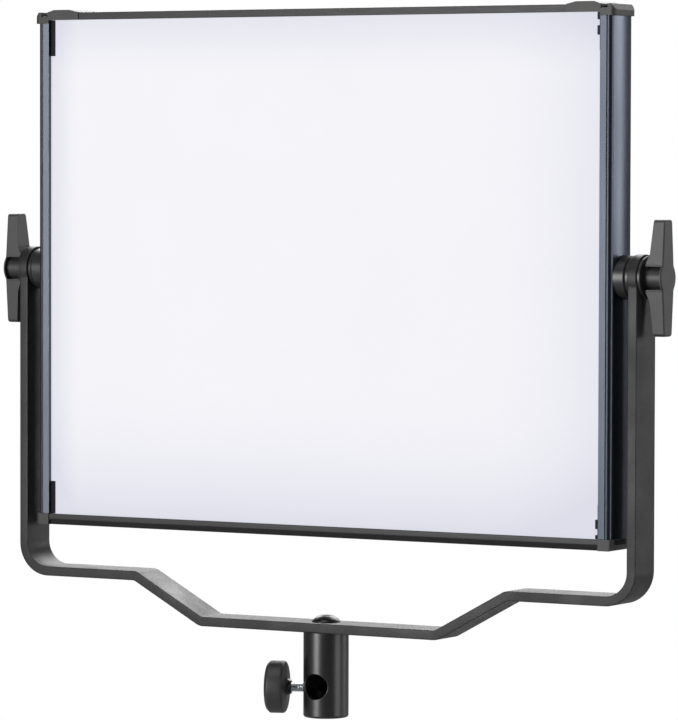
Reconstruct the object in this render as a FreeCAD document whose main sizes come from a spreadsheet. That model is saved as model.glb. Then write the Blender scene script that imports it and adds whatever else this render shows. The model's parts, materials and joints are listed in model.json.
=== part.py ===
"""LED panel light on a U-shaped yoke, as a parametric FreeCAD document.

Frame: millimetres, +Z up, the light shines towards -Y and +X is on the right seen from the front.
The origin is the centre of the stand socket's mouth. Panel parts are drawn about the tilt axis and
are lifted to it by their Placement.
"""
import FreeCAD, Part

import os
import re

import Sketcher

Vector = FreeCAD.Vector

DIMENSIONS = [
    # yoke and stand receiver
    ("tilt_height", 274.0, "tilt axis above the mouth of the stand socket"),
    ("bar_width", 25.0, "flat bar of the yoke, along Y"),
    ("bar_thick", 6.0, "flat bar of the yoke"),
    ("arm_inner", 213.5, "inner face of each yoke arm"),
    ("eye_radius", 14.0, "round end of each arm"),
    ("shoulder_low", 79.0, "underside of the bar beside the joggle"),
    ("saddle_low", 52.7, "underside of the bar above the receiver"),
    ("joggle_out", 133.3, "where the bar starts down"),
    ("joggle_in", 84.9, "where the bar is level again"),
    ("joggle_shift", 1.5, "shift of the top corner of each bend"),
    ("arm_bend", 20.5, "outer radius between arm and bottom"),
    ("joggle_bend", 10.0, "outer radius of the joggle's bends"),
    ("joggle_crease", 4.0, "inner radius of the joggle's bends"),
    ("receiver_radius", 14.0, "stand receiver"),
    ("receiver_edge", 1.5, "rounded bottom rim of the receiver"),
    ("socket_radius", 8.1, "socket for a 16 mm spigot"),
    ("socket_depth", 40.0, "depth of the upright socket"),
    ("cross_radius", 8.0, "cross socket, a closer fit on the same spigot"),
    ("cross_height", 19.6, "centre of the cross socket"),
    ("cross_end", 10.5, "blind end of the cross socket"),
    ("relief_radius", 8.5, "relief groove turned half-way up the upright socket"),
    ("relief_half", 0.5, "half the width of the relief groove"),
    ("bolt_radius", 4.0, "thread of the receiver bolt"),
    ("bolt_clear", 4.3, "plain hole for the receiver bolt"),
    ("bolt_head", 8.8, "radius of the button head"),
    ("bolt_crown", 4.1, "height of the button head"),
    ("bolt_flat", 3.9, "radius of the flat top of the button head"),
    ("bolt_rim", 0.6, "upright rim of the button head"),
    ("bolt_shoulder", 7.2, "radius half-way up the button head's dome"),
    ("bolt_rise", 2.2, "height of that point of the dome"),
    ("bolt_play", 0.05, "gap around the bolt in its thread"),
    ("bolt_key", 2.9, "radius of the hexagon recess"),
    ("bolt_key_deep", 2.4, "depth of the hexagon recess"),
    ("bolt_end", 44.0, "lower end of the receiver bolt"),
    # lock screw of the stand receiver
    ("lock_angle", 200.0, "direction of the lock screw about Z"),
    ("lock_height", 17.9, "centre of the lock screw"),
    ("lock_thread", 3.0, "radius of the lock screw's hole"),
    ("lock_screw_radius", 2.95, "lock screw"),
    ("lock_pad_radius", 2.6, "brass pressure pad"),
    ("lock_pad_start", 10.0, "tip of the pressure pad from the socket's axis"),
    ("lock_pad_end", 12.0, "back of the pressure pad"),
    ("lock_screw_end", 33.0, "outer end of the lock screw"),
    ("lock_cone_start", 20.3, "tip of the knob's cone"),
    ("lock_cone_tip", 3.9, "radius of the cone's tip"),
    ("lock_cone_base", 5.4, "radius of the cone's foot"),
    ("lock_knob_start", 25.0, "inner face of the knob"),
    ("lock_knob_radius", 16.2, "knob"),
    ("lock_knob_rim", 9.5, "length of the knob's rim"),
    ("lock_knob_slope", 2.0, "chamfer of the knob's outer face"),
    # panel frame
    ("opening", 195.7, "half width of the light opening"),
    ("strip_edge", 200.0, "outer edge of the column's front strip"),
    ("groove_wide", 0.8, "shadow groove beside the strip"),
    ("groove_deep", 0.7, "shadow groove beside the strip"),
    ("flank", 203.9, "where the column's side starts to bulge"),
    ("bulge", 205.0, "outermost line of the column"),
    ("frame_front", -15.0, "front plane of the frame"),
    ("frame_back", 12.0, "back plane of the frame"),
    ("frame_middle", -1.5, "mid depth of the frame"),
    ("corner_step", 3.5, "depth of the column's rounded corners"),
    ("corner_in", 0.9, "middle of those corners, inwards from the flank"),
    ("corner_rise", 1.05, "middle of those corners, behind the front plane"),
    ("groove_edge", 0.2, "set-back of the side beyond the shadow groove"),
    ("column_end", 155.0, "half height of the columns"),
    ("skin", 1.6, "wall of the extrusions"),
    ("flange_inner", 191.0, "inner edge of the column's rear flange"),
    ("ledge_inner", 192.5, "inner edge of the ledge behind the heat sink"),
    ("cavity_half", 7.0, "half depth of the hollow in the column"),
    ("cavity_outer", 202.6, "outer wall of the hollow in the column"),
    ("channel_radius", 1.2, "screw channels in the column's ends"),
    ("channel_x", 198.7, "screw channels"),
    ("channel_front", -8.7, "front screw channel"),
    ("channel_back", 9.4, "rear screw channel"),
    ("spot_x", 203.6, "seat of the pivot boss on the column"),
    ("spot_gap", 0.2, "gap around the pivot boss in its seat"),
    ("top_open", 157.2, "upper edge of the light opening"),
    ("top_rail_top", 161.8, "top of the upper rail"),
    ("low_open", 155.2, "lower edge of the light opening, below the axis"),
    ("low_rail_band", 158.5, "end of the lower rail's flat band, below the axis"),
    ("low_rail_end", 162.0, "underside of the lower rail, below the axis"),
    ("low_rail_set", 2.2, "set-back of the lower rail's chamfer"),
    ("rail_lip", 8.5, "inner lip of the rails, in front of the axis"),
    ("rail_flange", 150.0, "inner edge of the rails' rear flanges"),
    ("rail_slot", 2.2, "depth of the rails' diffuser slots"),
    ("cap_height", 162.0, "outer end of the corner caps"),
    ("cap_reach", 205.8, "outer side of the corner caps"),
    ("cap_front", -15.6, "front of the corner caps"),
    ("cap_slope_x", 203.0, "start of the corner caps' chamfer"),
    ("cap_slope_z", 158.3, "end of the corner caps' chamfer"),
    ("cap_round", 3.0, "upright rounded corners of the caps"),
    ("notch_inner", 196.4, "accessory notch in the upper caps"),
    ("notch_outer", 200.8, "accessory notch in the upper caps"),
    ("notch_floor", 159.2, "accessory notch in the upper caps"),
    ("pad_start", 173.2, "inner end of the raised pad"),
    ("pad_rise", 180.0, "inner end of the pad's flat top"),
    ("pad_fall", 191.5, "outer end of the pad's flat top"),
    ("pad_top", 163.5, "top of the raised pad"),
    ("pad_foot", 162.0, "foot of the pad's slopes"),
    # optics and light engine
    ("diffuser_front", -12.2, "front face of the diffuser"),
    ("diffuser_thick", 2.0, "diffuser sheet"),
    ("diffuser_half", 197.1, "half width of the diffuser"),
    ("diffuser_top", 159.2, "upper edge of the diffuser"),
    ("diffuser_low", 157.2, "lower edge of the diffuser, below the axis"),
    ("fit_gap", 0.1, "gap around sheets in their slots"),
    ("over", 1.0, "how far a cut runs past the face it starts from"),
    ("clip_inner", 192.4, "inner edge of the left diffuser clips"),
    ("clip_tooth", 192.9, "inner edge of the right clips' teeth"),
    ("clip_spine", 194.4, "inner edge of a right clip's spine"),
    ("clip_end", 134.5, "far end of the clips"),
    ("clip_tooth_a", 143.6, "steps of the right clips"),
    ("clip_tooth_b", 149.2, "steps of the right clips"),
    ("clip_tooth_c", 152.7, "steps of the right clips"),
    ("clip_thick", 0.9, "clip sheet"),
    ("mixer_half", 195.3, "half width of the reflector frame"),
    ("mixer_height", 154.8, "half height of the reflector frame"),
    ("mixer_front", -9.9, "front of the reflector frame"),
    ("mixer_wall", 1.5, "wall of the reflector frame"),
    ("board_front", 3.0, "front of the light-emitting board"),
    ("board_thick", 1.6, "circuit boards"),
    ("board_half", 194.8, "half width of the light-emitting board"),
    ("board_height", 154.5, "half height of the light-emitting board"),
    ("emitter_size", 3.5, "light-emitting package"),
    ("emitter_thick", 0.8, "light-emitting package"),
    ("emitter_half_x", 182.0, "outermost column of packages"),
    ("emitter_half_z", 140.0, "outermost row of packages"),
    ("emitter_columns", 14, "packages across"),
    ("emitter_rows", 11, "packages up"),
    ("sink_thick", 2.0, "plate of the heat sink"),
    ("sink_height", 156.0, "half height of the heat sink"),
    ("fin_tip", 11.4, "tips of the fins"),
    ("fin_thick", 2.0, "fins"),
    ("fin_half", 145.0, "half length of the fins"),
    ("fin_span", 180.0, "outermost fins"),
    ("fin_count", 31, "fins"),
    ("cable_x", 6.0, "light-engine cable"),
    ("cable_z", -95.0, "light-engine cable"),
    ("cable_drop", 8.0, "drop of the cable behind the heat sink"),
    ("cable_lead", 2.0, "straight end of the cable in front of the driver board"),
    ("cable_radius", 1.5, "light-engine cable"),
    ("cable_hole", 3.5, "hole in the heat sink for the cable"),
    # rear cover
    ("cover_half", 198.8, "half width of the rear cover"),
    ("cover_height", 159.5, "half height of the rear cover"),
    ("cover_thick", 1.5, "rear cover"),
    ("cover_corner", 5.0, "corner radius of the rear cover"),
    ("vent_inner", 104.0, "inner ends of the vents"),
    ("vent_outer", 178.0, "outer ends of the vents"),
    ("vent_tall", 5.0, "vent slot"),
    ("vent_low", -132.0, "centre of the lowest vent"),
    ("vent_run", 264.0, "distance from the lowest to the highest vent"),
    ("vent_count", 23, "vents on each side"),
    ("port_half", 30.0, "cable opening behind the control housing"),
    ("port_low", -125.0, "cable opening behind the control housing"),
    ("port_high", -85.0, "cable opening behind the control housing"),
    ("screw_radius", 1.5, "small screws"),
    ("screw_head", 2.9, "small screws"),
    ("screw_crown", 1.8, "small screws"),
    ("cover_screw_x", 193.6, "cover screws"),
    ("cover_screw_z", 148.0, "cover screws"),
    ("cover_screw_rows", 5, "cover screws on each side"),
    ("cover_screw_end", 9.0, "tips of the cover screws"),
    ("long_screw_end", 11.6, "tips of the housing and plate screws"),
    ("screw_key", 0.9, "radius of the driver recess"),
    ("screw_key_deep", 1.0, "depth of the driver recess"),
    ("cap_screw_radius", 1.15, "cap screws"),
    ("cap_screw_head", 2.0, "cap screws"),
    ("cap_screw_crown", 1.4, "cap screws"),
    ("cap_screw_tip", 147.0, "tips of the cap screws"),
    # control housing on the back
    ("box_half", 86.0, "half width of the control housing"),
    ("box_low", -140.0, "lower side of the control housing"),
    ("box_high", -48.0, "upper side of the control housing"),
    ("box_back", 46.0, "rear face of the control housing"),
    ("box_wall", 2.5, "walls of the control housing"),
    ("box_corner", 8.0, "corner radius of the control housing"),
    ("box_edge", 2.0, "rounded rear rim of the control housing"),
    ("pillar_x", 78.0, "screw pillars of the housing"),
    ("pillar_low", -131.5, "lower screw pillars"),
    ("pillar_high", -56.5, "upper screw pillars"),
    ("pillar_radius", 4.2, "screw pillars"),
    ("window_low_x", 8.0, "display window"),
    ("window_high_x", 64.0, "display window"),
    ("window_low", -94.0, "display window"),
    ("window_high", -60.0, "display window"),
    ("window_thick", 1.3, "display window"),
    ("window_seat", 1.5, "depth of the window's recess"),
    ("window_ledge", 2.5, "ledge under the window's edge"),
    ("control_front", 36.0, "front of the control board"),
    ("control_half", 73.0, "half width of the control board"),
    ("control_low", -134.0, "lower edge of the control board"),
    ("control_high", -54.0, "upper edge of the control board"),
    ("driver_front", 17.0, "front of the driver board"),
    ("driver_part", 12.0, "height of the driver's components"),
    ("driver_low", -130.0, "lower edge of the driver board"),
    ("driver_high", -58.0, "upper edge of the driver board"),
    ("coil_left", -60.0, "power coil on the driver board"),
    ("coil_right", -32.0, "power coil on the driver board"),
    ("coil_low", -124.0, "power coil on the driver board"),
    ("coil_high", -96.0, "power coil on the driver board"),
    ("sink_left", -20.0, "transistor heat sink on the driver board"),
    ("sink_right", -2.0, "transistor heat sink on the driver board"),
    ("sink_low", -120.0, "transistor heat sink on the driver board"),
    ("sink_high", -70.0, "transistor heat sink on the driver board"),
    ("can_first", 16.0, "first of the three capacitors"),
    ("can_step", 16.0, "pitch of the capacitors"),
    ("can_z", -76.0, "height of the capacitors"),
    ("can_radius", 6.0, "capacitors"),
    ("relay_left", 12.0, "relay block on the driver board"),
    ("relay_right", 60.0, "relay block on the driver board"),
    ("relay_low", -122.0, "relay block on the driver board"),
    ("relay_high", -98.0, "relay block on the driver board"),
    ("dial_first", -20.0, "brightness dial"),
    ("dial_second", -58.0, "colour dial"),
    ("dial_z", -78.0, "height of both dials"),
    ("dial_radius", 12.0, "dial"),
    ("dial_gap", 0.6, "gap between dial and housing"),
    ("dial_length", 12.0, "dial"),
    ("dial_slope", 1.2, "chamfer of the dial"),
    ("shaft_radius", 3.0, "encoder shaft"),
    ("shaft_clear", 3.06, "bearing of the encoder shaft"),
    ("shaft_hole", 3.6, "hole in the housing for the shaft"),
    ("shaft_seat", 7.0, "depth of the shaft in the dial"),
    ("shaft_foot", 1.0, "gap between the control board and the shaft"),
    ("encoder_half", 6.5, "encoder body"),
    ("button_first", 20.0, "first push button"),
    ("button_step", 16.0, "pitch of the push buttons"),
    ("button_z", -114.0, "height of the push buttons"),
    ("button_radius", 4.5, "push button"),
    ("button_hole", 4.7, "hole for a push button"),
    ("button_proud", 1.6, "push button above the housing"),
    ("button_flange", 5.8, "collar that keeps a button in"),
    ("button_collar", 1.0, "collar that keeps a button in"),
    ("button_rest", 0.2, "gap between collar and housing"),
    ("switch_half", 3.0, "switch under each button"),
    ("switch_tall", 3.4, "switch under each button"),
    ("rocker_x", -58.0, "power rocker"),
    ("rocker_z", -118.0, "power rocker"),
    ("rocker_pivot", 42.5, "rocker's pin behind the tilt axis"),
    ("rocker_half", 9.2, "half length of the rocker"),
    ("rocker_wide", 6.0, "half width of the rocker"),
    ("rocker_tip", 5.6, "raised ends of the rocker"),
    ("rocker_dip", 4.2, "middle of the rocker"),
    ("rocker_deep", 3.0, "rocker below its pin"),
    ("rocker_lean", -8.0, "lean of the rocker at rest, degrees"),
    ("rocker_pin", 1.2, "trunnions of the rocker"),
    ("rocker_bearing", 1.26, "trunnion holes"),
    ("sleeve_in_x", 6.3, "rocker bezel, inner half width"),
    ("sleeve_in_z", 10.3, "rocker bezel, inner half height"),
    ("sleeve_wall", 0.9, "rocker bezel"),
    ("sleeve_front", 37.8, "front end of the rocker bezel"),
    ("bezel_lip", 1.8, "rim of the rocker bezel"),
    ("bezel_thick", 1.2, "rim of the rocker bezel"),
    ("inlet_y", 28.0, "power inlet"),
    ("inlet_z", -108.0, "power inlet"),
    ("inlet_radius", 7.0, "power inlet"),
    ("inlet_core", 4.6, "power inlet"),
    ("inlet_length", 14.0, "power inlet"),
    ("inlet_lip", 9.0, "rim of the power inlet"),
    ("inlet_pin", 1.2, "centre pin of the power inlet"),
    ("lip_thick", 1.2, "rims of inlet and port"),
    ("port_z", -80.0, "data port"),
    ("port_wide", 4.6, "data port, half width"),
    ("port_tall", 1.7, "data port, half height"),
    ("port_shell", 0.5, "data port, wall"),
    # battery plate
    ("plate_half", 45.0, "half width of the battery plate"),
    ("plate_low", -38.0, "lower side of the battery plate"),
    ("plate_high", 76.0, "upper side of the battery plate"),
    ("plate_back", 25.0, "rear face of the battery plate"),
    ("plate_corner", 6.0, "corner radius of the battery plate"),
    ("plate_edge", 1.0, "rounded rear rim of the battery plate"),
    ("wedge_top", 23.0, "wedge recess, upper half width"),
    ("wedge_foot", 15.5, "wedge recess, lower half width"),
    ("wedge_low", 6.0, "lower end of the wedge recess"),
    ("wedge_deep", 7.0, "depth of the wedge recess"),
    ("undercut", 2.4, "undercut beside the wedge recess"),
    ("lip_deep", 3.0, "lip over the undercut"),
    ("terminal_half", 14.0, "terminal block"),
    ("terminal_low", -26.0, "terminal block"),
    ("terminal_high", -12.0, "terminal block"),
    ("terminal_proud", 3.0, "terminal block above the plate"),
    ("contact_half", 1.0, "battery contacts"),
    ("contact_pitch", 6.0, "battery contacts"),
    ("contact_proud", 3.5, "battery contacts above the terminal block"),
    ("latch_low", 30.0, "release latch"),
    ("latch_high", 48.0, "release latch"),
    ("latch_inner", 30.0, "inner end of the release latch"),
    ("latch_proud", 5.0, "release latch beyond the plate's side"),
    ("latch_front", 16.5, "release latch"),
    ("latch_back", 22.0, "release latch"),
    ("latch_gap", 0.25, "gap around the release latch"),
    ("latch_room", 4.5, "room for the latch's travel"),
    ("plate_screw_x", 37.0, "battery plate screws"),
    ("plate_screw_low", -30.0, "battery plate screws"),
    ("plate_screw_high", 66.0, "battery plate screws"),
    # tilt hardware, along X
    ("boss_radius", 13.2, "pivot boss"),
    ("boss_out", 211.5, "outer face of the pivot boss"),
    ("boss_edge", 1.2, "chamfer of the pivot boss"),
    ("stud_radius", 3.95, "clamping stud"),
    ("stud_thread", 4.0, "thread of the nut plate"),
    ("stud_clear", 4.4, "plain holes for the stud"),
    ("stud_inner", 198.2, "inner end of the stud"),
    ("stud_outer", 229.0, "outer end of the stud in the handle"),
    ("nut_inner", 197.5, "nut plate"),
    ("nut_outer", 202.4, "nut plate"),
    ("nut_half", 6.8, "half width of the nut plate"),
    ("nut_height", 15.0, "half height of the nut plate"),
    ("friction_radius", 12.5, "friction washer"),
    ("loose_radius", 12.8, "outer washer"),
    ("loose_outer", 221.2, "outer face of the outer washer"),
    ("washer_hole", 4.05, "bore of the outer washer"),
    ("hub_radius", 7.4, "hub of the tilt handle"),
    ("wing_outer", 234.2, "outer face of the tilt handle"),
    ("wing_half", 34.6, "half length of the tilt handle"),
    ("wing_tip_wide", 4.9, "half width of the wings at their tips"),
    ("wing_root_wide", 7.14, "half width of the wings at the hub"),
    ("wing_root", 7.0, "where the wings meet the hub's flange"),
    ("wing_start", 222.4, "innermost line of the wings, beside the hub"),
    ("flare_foot", 8.0, "inner side of the flare at the wings' roots"),
    ("flare_end_x", 225.0, "end of the flare"),
    ("flare_end", 14.5, "end of the flare"),
    ("wing_tip_inner", 226.8, "inner face of the wings at their tips"),
    ("flange_radius", 10.0, "round flange at the hub's outer end"),
    ("flange_inner_x", 232.8, "inner face of the flange"),
    ("wing_corner", 2.0, "rounded corners at the wings' tips"),
    ("wing_hollow", 3.0, "hollow corners between wings and flange"),
    ("wing_edge", 1.0, "rounded edges of the tilt handle"),
]

doc = FreeCAD.newDocument("led_panel_light")
sheet = doc.addObject("Spreadsheet::Sheet", "dims")
parts = []


def fill_sheet():
    """Write the driving dimensions: alias, value and what it measures."""
    for row, (alias, number, meaning) in enumerate(DIMENSIONS, start=1):
        sheet.set(f"A{row}", alias)
        sheet.set(f"B{row}", str(number))
        sheet.set(f"C{row}", meaning)
        sheet.setAlias(f"B{row}", alias)
    doc.recompute()


def bound(text):
    """Turn 'bar_width / 2' into 'dims.bar_width / 2', as the expression engine reads it."""
    return re.sub(r"[a-z][a-z_]+", r"dims.\g<0>", str(text))


def size(text):
    """Value of an expression on the sheet."""
    return float(sheet.evalExpression(bound(text)))


def new_part(label, at_axis=True, place=None):
    """A body named after its piece. Panel pieces are lifted to the tilt axis, and a piece with a
    place is drawn about its own middle and moved there."""
    body = doc.addObject("PartDesign::Body", label)
    body.Label = label
    if place:
        x, y, z = place
        body.setExpression("Placement.Base.x", bound(x))
        body.setExpression("Placement.Base.y", bound(y))
        body.setExpression("Placement.Base.z", bound(f"tilt_height + {z}"))
    elif at_axis:
        body.setExpression("Placement.Base.z", bound("tilt_height"))
    parts.append(body)
    return body


def origin_item(body, role):
    """One of the body's origin planes or axes, such as YZ_Plane or X_Axis."""
    return next(item for item in body.Origin.OriginFeatures if item.Role == role)


def mirrored_part(label, source):
    """The left-hand twin of a right-hand piece."""
    twin = doc.addObject("Part::Mirroring", label)
    twin.Label = label
    twin.Source = source
    twin.Normal = Vector(1, 0, 0)
    parts.append(twin)
    return twin


def new_sketch(body, plane, height):
    """A sketch on one of the body's own origin planes, moved along the plane's normal."""
    sketch = body.newObject("Sketcher::SketchObject", "Sketch")
    sketch.AttachmentSupport = [(origin_item(body, plane + "_Plane"), "")]
    sketch.MapMode = "FlatFace"
    sketch.setExpression("AttachmentOffset.Base.z", bound(height))
    return sketch


def pin_point(sketch, geometry, point, place):
    """Tie a point of the sketch to two sheet expressions, measured from the origin."""
    axes = (("DistanceX", -2, place[0]), ("DistanceY", -1, place[1]))
    for kind, axis, text in axes:
        number = size(text)
        if number == 0:
            sketch.addConstraint(Sketcher.Constraint("PointOnObject", geometry, point, axis))
            continue
        index = sketch.addConstraint(Sketcher.Constraint(kind, -1, 1, geometry, point, number))
        sketch.setExpression(f"Constraints[{index}]", bound(text))


def draw_loop(sketch, outline):
    """Closed loop of corners. A corner of four texts is reached by an arc through the first two."""
    first = sketch.GeometryCount
    places = [Vector(size(corner[-2]), size(corner[-1]), 0) for corner in outline]
    arcs = []
    for index, corner in enumerate(outline):
        start = places[index - 1]
        if len(corner) == 4:
            middle = Vector(size(corner[0]), size(corner[1]), 0)
            sketch.addGeometry(Part.Arc(start, middle, places[index]), False)
            arcs.append((first + index, corner[:2], middle, start))
        else:
            sketch.addGeometry(Part.LineSegment(start, places[index]), False)
    ends = [end_points(sketch, first + index, places[index]) for index in range(len(outline))]
    for index, corner in enumerate(outline):
        following = (index + 1) % len(outline)
        sketch.addConstraint(Sketcher.Constraint(
            "Coincident", first + index, ends[index][1], first + following, ends[following][0]))
        pin_point(sketch, first + index, ends[index][1], corner[-2:])
    for geometry, place, middle, start in arcs:
        marker = sketch.addGeometry(Part.Point(middle), True)
        pin_point(sketch, marker, 1, place)
        sketch.addConstraint(Sketcher.Constraint("PointOnObject", marker, 1, geometry))


def end_points(sketch, geometry, finish):
    """Which end of a curve is its start and which its finish: arcs always run anticlockwise."""
    if sketch.getPoint(geometry, 2).distanceToPoint(finish) < 1e-6:
        return 1, 2
    return 2, 1


def draw_circle(sketch, x, y, radius):
    centre = Vector(size(x), size(y), 0)
    geometry = sketch.addGeometry(Part.Circle(centre, Vector(0, 0, 1), size(radius)), False)
    pin_point(sketch, geometry, 3, (x, y))
    index = sketch.addConstraint(Sketcher.Constraint("Radius", geometry, size(radius)))
    sketch.setExpression(f"Constraints[{index}]", bound(radius))


def draw(sketch, loops):
    """A loop is a list of corners, or a circle given as (x, y, radius)."""
    for loop in loops:
        if isinstance(loop, list):
            draw_loop(sketch, loop)
        else:
            draw_circle(sketch, *loop)


def rectangle(left, right, bottom, top):
    return [(right, bottom), (right, top), (left, top), (left, bottom)]


def pad(body, plane, loops, low, high):
    """Solid between low and high along the axis that the plane lacks. XZ faces -Y."""
    start = f"-({high})" if plane == "XZ" else low
    sketch = new_sketch(body, plane, start)
    draw(sketch, loops)
    feature = body.newObject("PartDesign::Pad", "Pad")
    feature.Profile = sketch
    feature.setExpression("Length", bound(f"({high}) - ({low})"))
    return feature


def cut(body, plane, loops, low, high):
    """Pocket between low and high. It runs against the plane's normal."""
    start = f"-({low})" if plane == "XZ" else high
    sketch = new_sketch(body, plane, start)
    draw(sketch, loops)
    feature = body.newObject("PartDesign::Pocket", "Pocket")
    feature.Profile = sketch
    feature.setExpression("Length", bound(f"({high}) - ({low})"))
    return feature


def revolve(body, plane, outline, axis):
    sketch = new_sketch(body, plane, "0")
    draw(sketch, [outline])
    feature = body.newObject("PartDesign::Revolution", "Revolution")
    feature.Profile = sketch
    feature.ReferenceAxis = (sketch, [axis])
    feature.Angle = 360
    return feature


def repeat(body, feature, axis, run, count, second=None):
    """Linear pattern of one feature, or of the whole body when feature is None."""
    pattern = body.newObject("PartDesign::LinearPattern", "LinearPattern")
    if feature:
        pattern.Originals = [feature]
    else:
        pattern.TransformMode = "Whole shape"
    pattern.Direction = (origin_item(body, axis + "_Axis"), [""])
    pattern.setExpression("Length", bound(run))
    pattern.setExpression("Occurrences", bound(count))
    if second:
        pattern.Direction2 = (origin_item(body, second[0] + "_Axis"), [""])
        pattern.setExpression("Length2", bound(second[1]))
        pattern.setExpression("Occurrences2", bound(second[2]))
    body.Tip = pattern
    return pattern


def mirror_whole(body, plane):
    """Add the mirror image of everything in the body so far."""
    twin = body.newObject("PartDesign::Mirrored", "Mirrored")
    twin.TransformMode = "Whole shape"
    twin.MirrorPlane = (origin_item(body, plane + "_Plane"), [""])
    body.Tip = twin
    return twin


def round_edges(body, radius, chosen):
    """Fillet the edges that the test chooses on the body's present shape."""
    doc.recompute()
    base = body.Tip
    names = [f"Edge{number}" for number, edge in enumerate(base.Shape.Edges, start=1) if chosen(edge)]
    if not names:
        raise RuntimeError(f"{body.Label}: no edge to round")
    feature = body.newObject("PartDesign::Fillet", "Fillet")
    feature.Base = (base, names)
    feature.setExpression("Radius", bound(radius))


def along(direction, places=None):
    """Test for straight edges along X, Y or Z, at given places in the other two directions."""
    axis = "XYZ".index(direction)
    others = [index for index in range(3) if index != axis]

    def chosen(edge):
        if edge.Curve.TypeId != "Part::GeomLine":
            return False
        if abs(edge.Curve.Direction[axis]) < 0.999:
            return False
        middle = edge.BoundBox.Center
        if places is None:
            return True
        return any(abs(middle[others[0]] - size(first)) < 0.01 and
                   abs(middle[others[1]] - size(second)) < 0.01 for first, second in places)
    return chosen


def around_rear(place):
    """Test for the edges that bound a face across Y at one place."""
    def chosen(edge):
        box = edge.BoundBox
        return max(abs(box.YMin - size(place)), abs(box.YMax - size(place))) < 0.01
    return chosen


def both_sides(places):
    """The same places on the left and on the right."""
    return places + [(f"-({first})", second) for first, second in places]


def ring(outer, inner, start, end):
    """Half section of a washer or collar for a turned part: length along the axis, radius up."""
    return [(start, inner), (end, inner), (end, outer), (start, outer)]


# ---------------------------------------------------------------------------------------------
# Yoke, stand receiver and lock screw
# ---------------------------------------------------------------------------------------------

def make_yoke_bracket():
    body = new_part("yoke_bracket", at_axis=False)
    outer = "arm_inner + bar_thick"
    joggle_top = "joggle_out - joggle_shift"
    saddle_top = "joggle_in - joggle_shift"
    low = [("joggle_in", "saddle_low"), ("joggle_out", "shoulder_low"),
           (outer, "shoulder_low"), (outer, "tilt_height")]
    high = [("arm_inner", "tilt_height"), ("arm_inner", "shoulder_low + bar_thick"),
            (joggle_top, "shoulder_low + bar_thick"), (saddle_top, "saddle_low + bar_thick")]
    right = low + high
    left = [(f"-({x})", z) for x, z in reversed(right)]
    pad(body, "XZ", [right + left], "-bar_width / 2", "bar_width / 2")
    sharp = [("arm_inner + bar_thick", "shoulder_low")]
    hollow = [("arm_inner", "shoulder_low + bar_thick")]
    round_edges(body, "arm_bend", along("Y", both_sides(sharp)))
    round_edges(body, "arm_bend - bar_thick", along("Y", both_sides(hollow)))
    convex = [(joggle_top, "shoulder_low + bar_thick"), ("joggle_in", "saddle_low")]
    concave = [("joggle_out", "shoulder_low"), (saddle_top, "saddle_low + bar_thick")]
    round_edges(body, "joggle_bend", along("Y", both_sides(convex)))
    round_edges(body, "joggle_crease", along("Y", both_sides(concave)))
    for low_x, high_x in (("arm_inner", outer), (f"-({outer})", "-arm_inner")):
        pad(body, "YZ", [("0", "tilt_height", "eye_radius")], low_x, high_x)
        cut(body, "YZ", [("0", "tilt_height", "stud_clear")], low_x, high_x)
    cut(body, "XY", [("0", "0", "bolt_clear")], "saddle_low", "saddle_low + bar_thick")


def make_stand_receiver():
    body = new_part("stand_receiver", at_axis=False)
    bevel = "receiver_edge * (1 - 0.5 ^ 0.5)"
    outline = [("socket_radius", "0"), ("receiver_radius - receiver_edge", "0"),
               (f"receiver_radius - {bevel}", bevel, "receiver_radius", "receiver_edge"),
               ("receiver_radius", "saddle_low"), ("bolt_radius", "saddle_low"),
               ("bolt_radius", "socket_depth"), ("socket_radius", "socket_depth"),
               ("socket_radius", "cross_height + relief_half"),
               ("relief_radius", "cross_height + relief_half"),
               ("relief_radius", "cross_height - relief_half"),
               ("socket_radius", "cross_height - relief_half")]
    revolve(body, "XZ", outline, "V_Axis")
    cut(body, "XZ", [("0", "cross_height", "cross_radius")], "-receiver_radius", "cross_end")
    side = doc.addObject("PartDesign::Body", "lock_hole_cutter")
    pad(side, "YZ", [("0", "0", "lock_thread")], "socket_radius / 2", "receiver_radius * 1.5")
    side.Placement.Rotation = FreeCAD.Rotation(Vector(0, 0, 1), 1)
    side.setExpression("Placement.Rotation.Angle", bound("lock_angle") + " * 1deg")
    side.setExpression("Placement.Base.z", bound("lock_height"))
    drilled = body.newObject("PartDesign::Boolean", "LockHole")
    drilled.Type = "Cut"
    drilled.Group = [side]


def make_receiver_bolt():
    body = new_part("receiver_bolt", at_axis=False)
    seat = "saddle_low + bar_thick"
    crown = f"{seat} + bolt_crown"
    shank = "bolt_radius - bolt_play"
    outline = [("0", "bolt_end"), (shank, "bolt_end"), (shank, seat), ("bolt_head", seat),
               ("bolt_head", f"{seat} + bolt_rim"),
               ("bolt_shoulder", f"{seat} + bolt_rise", "bolt_flat", crown), ("0", crown)]
    revolve(body, "XZ", outline, "V_Axis")
    half = "bolt_key / 2"
    tall = "bolt_key * 3 ^ 0.5 / 2"
    hexagon = [("bolt_key", "0"), (half, tall), (f"-{half}", tall), ("-bolt_key", "0"),
               (f"-{half}", f"-{tall}"), (half, f"-{tall}")]
    cut(body, "XY", [hexagon], f"{crown} - bolt_key_deep", crown)


def lock_part(label):
    """A piece of the lock screw, drawn along X and turned to the screw's own direction."""
    body = new_part(label, at_axis=False)
    body.setExpression("Placement.Base.z", bound("lock_height"))
    body.Placement.Rotation = FreeCAD.Rotation(Vector(0, 0, 1), 1)
    body.setExpression("Placement.Rotation.Angle", bound("lock_angle") + " * 1deg")
    return body


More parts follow.
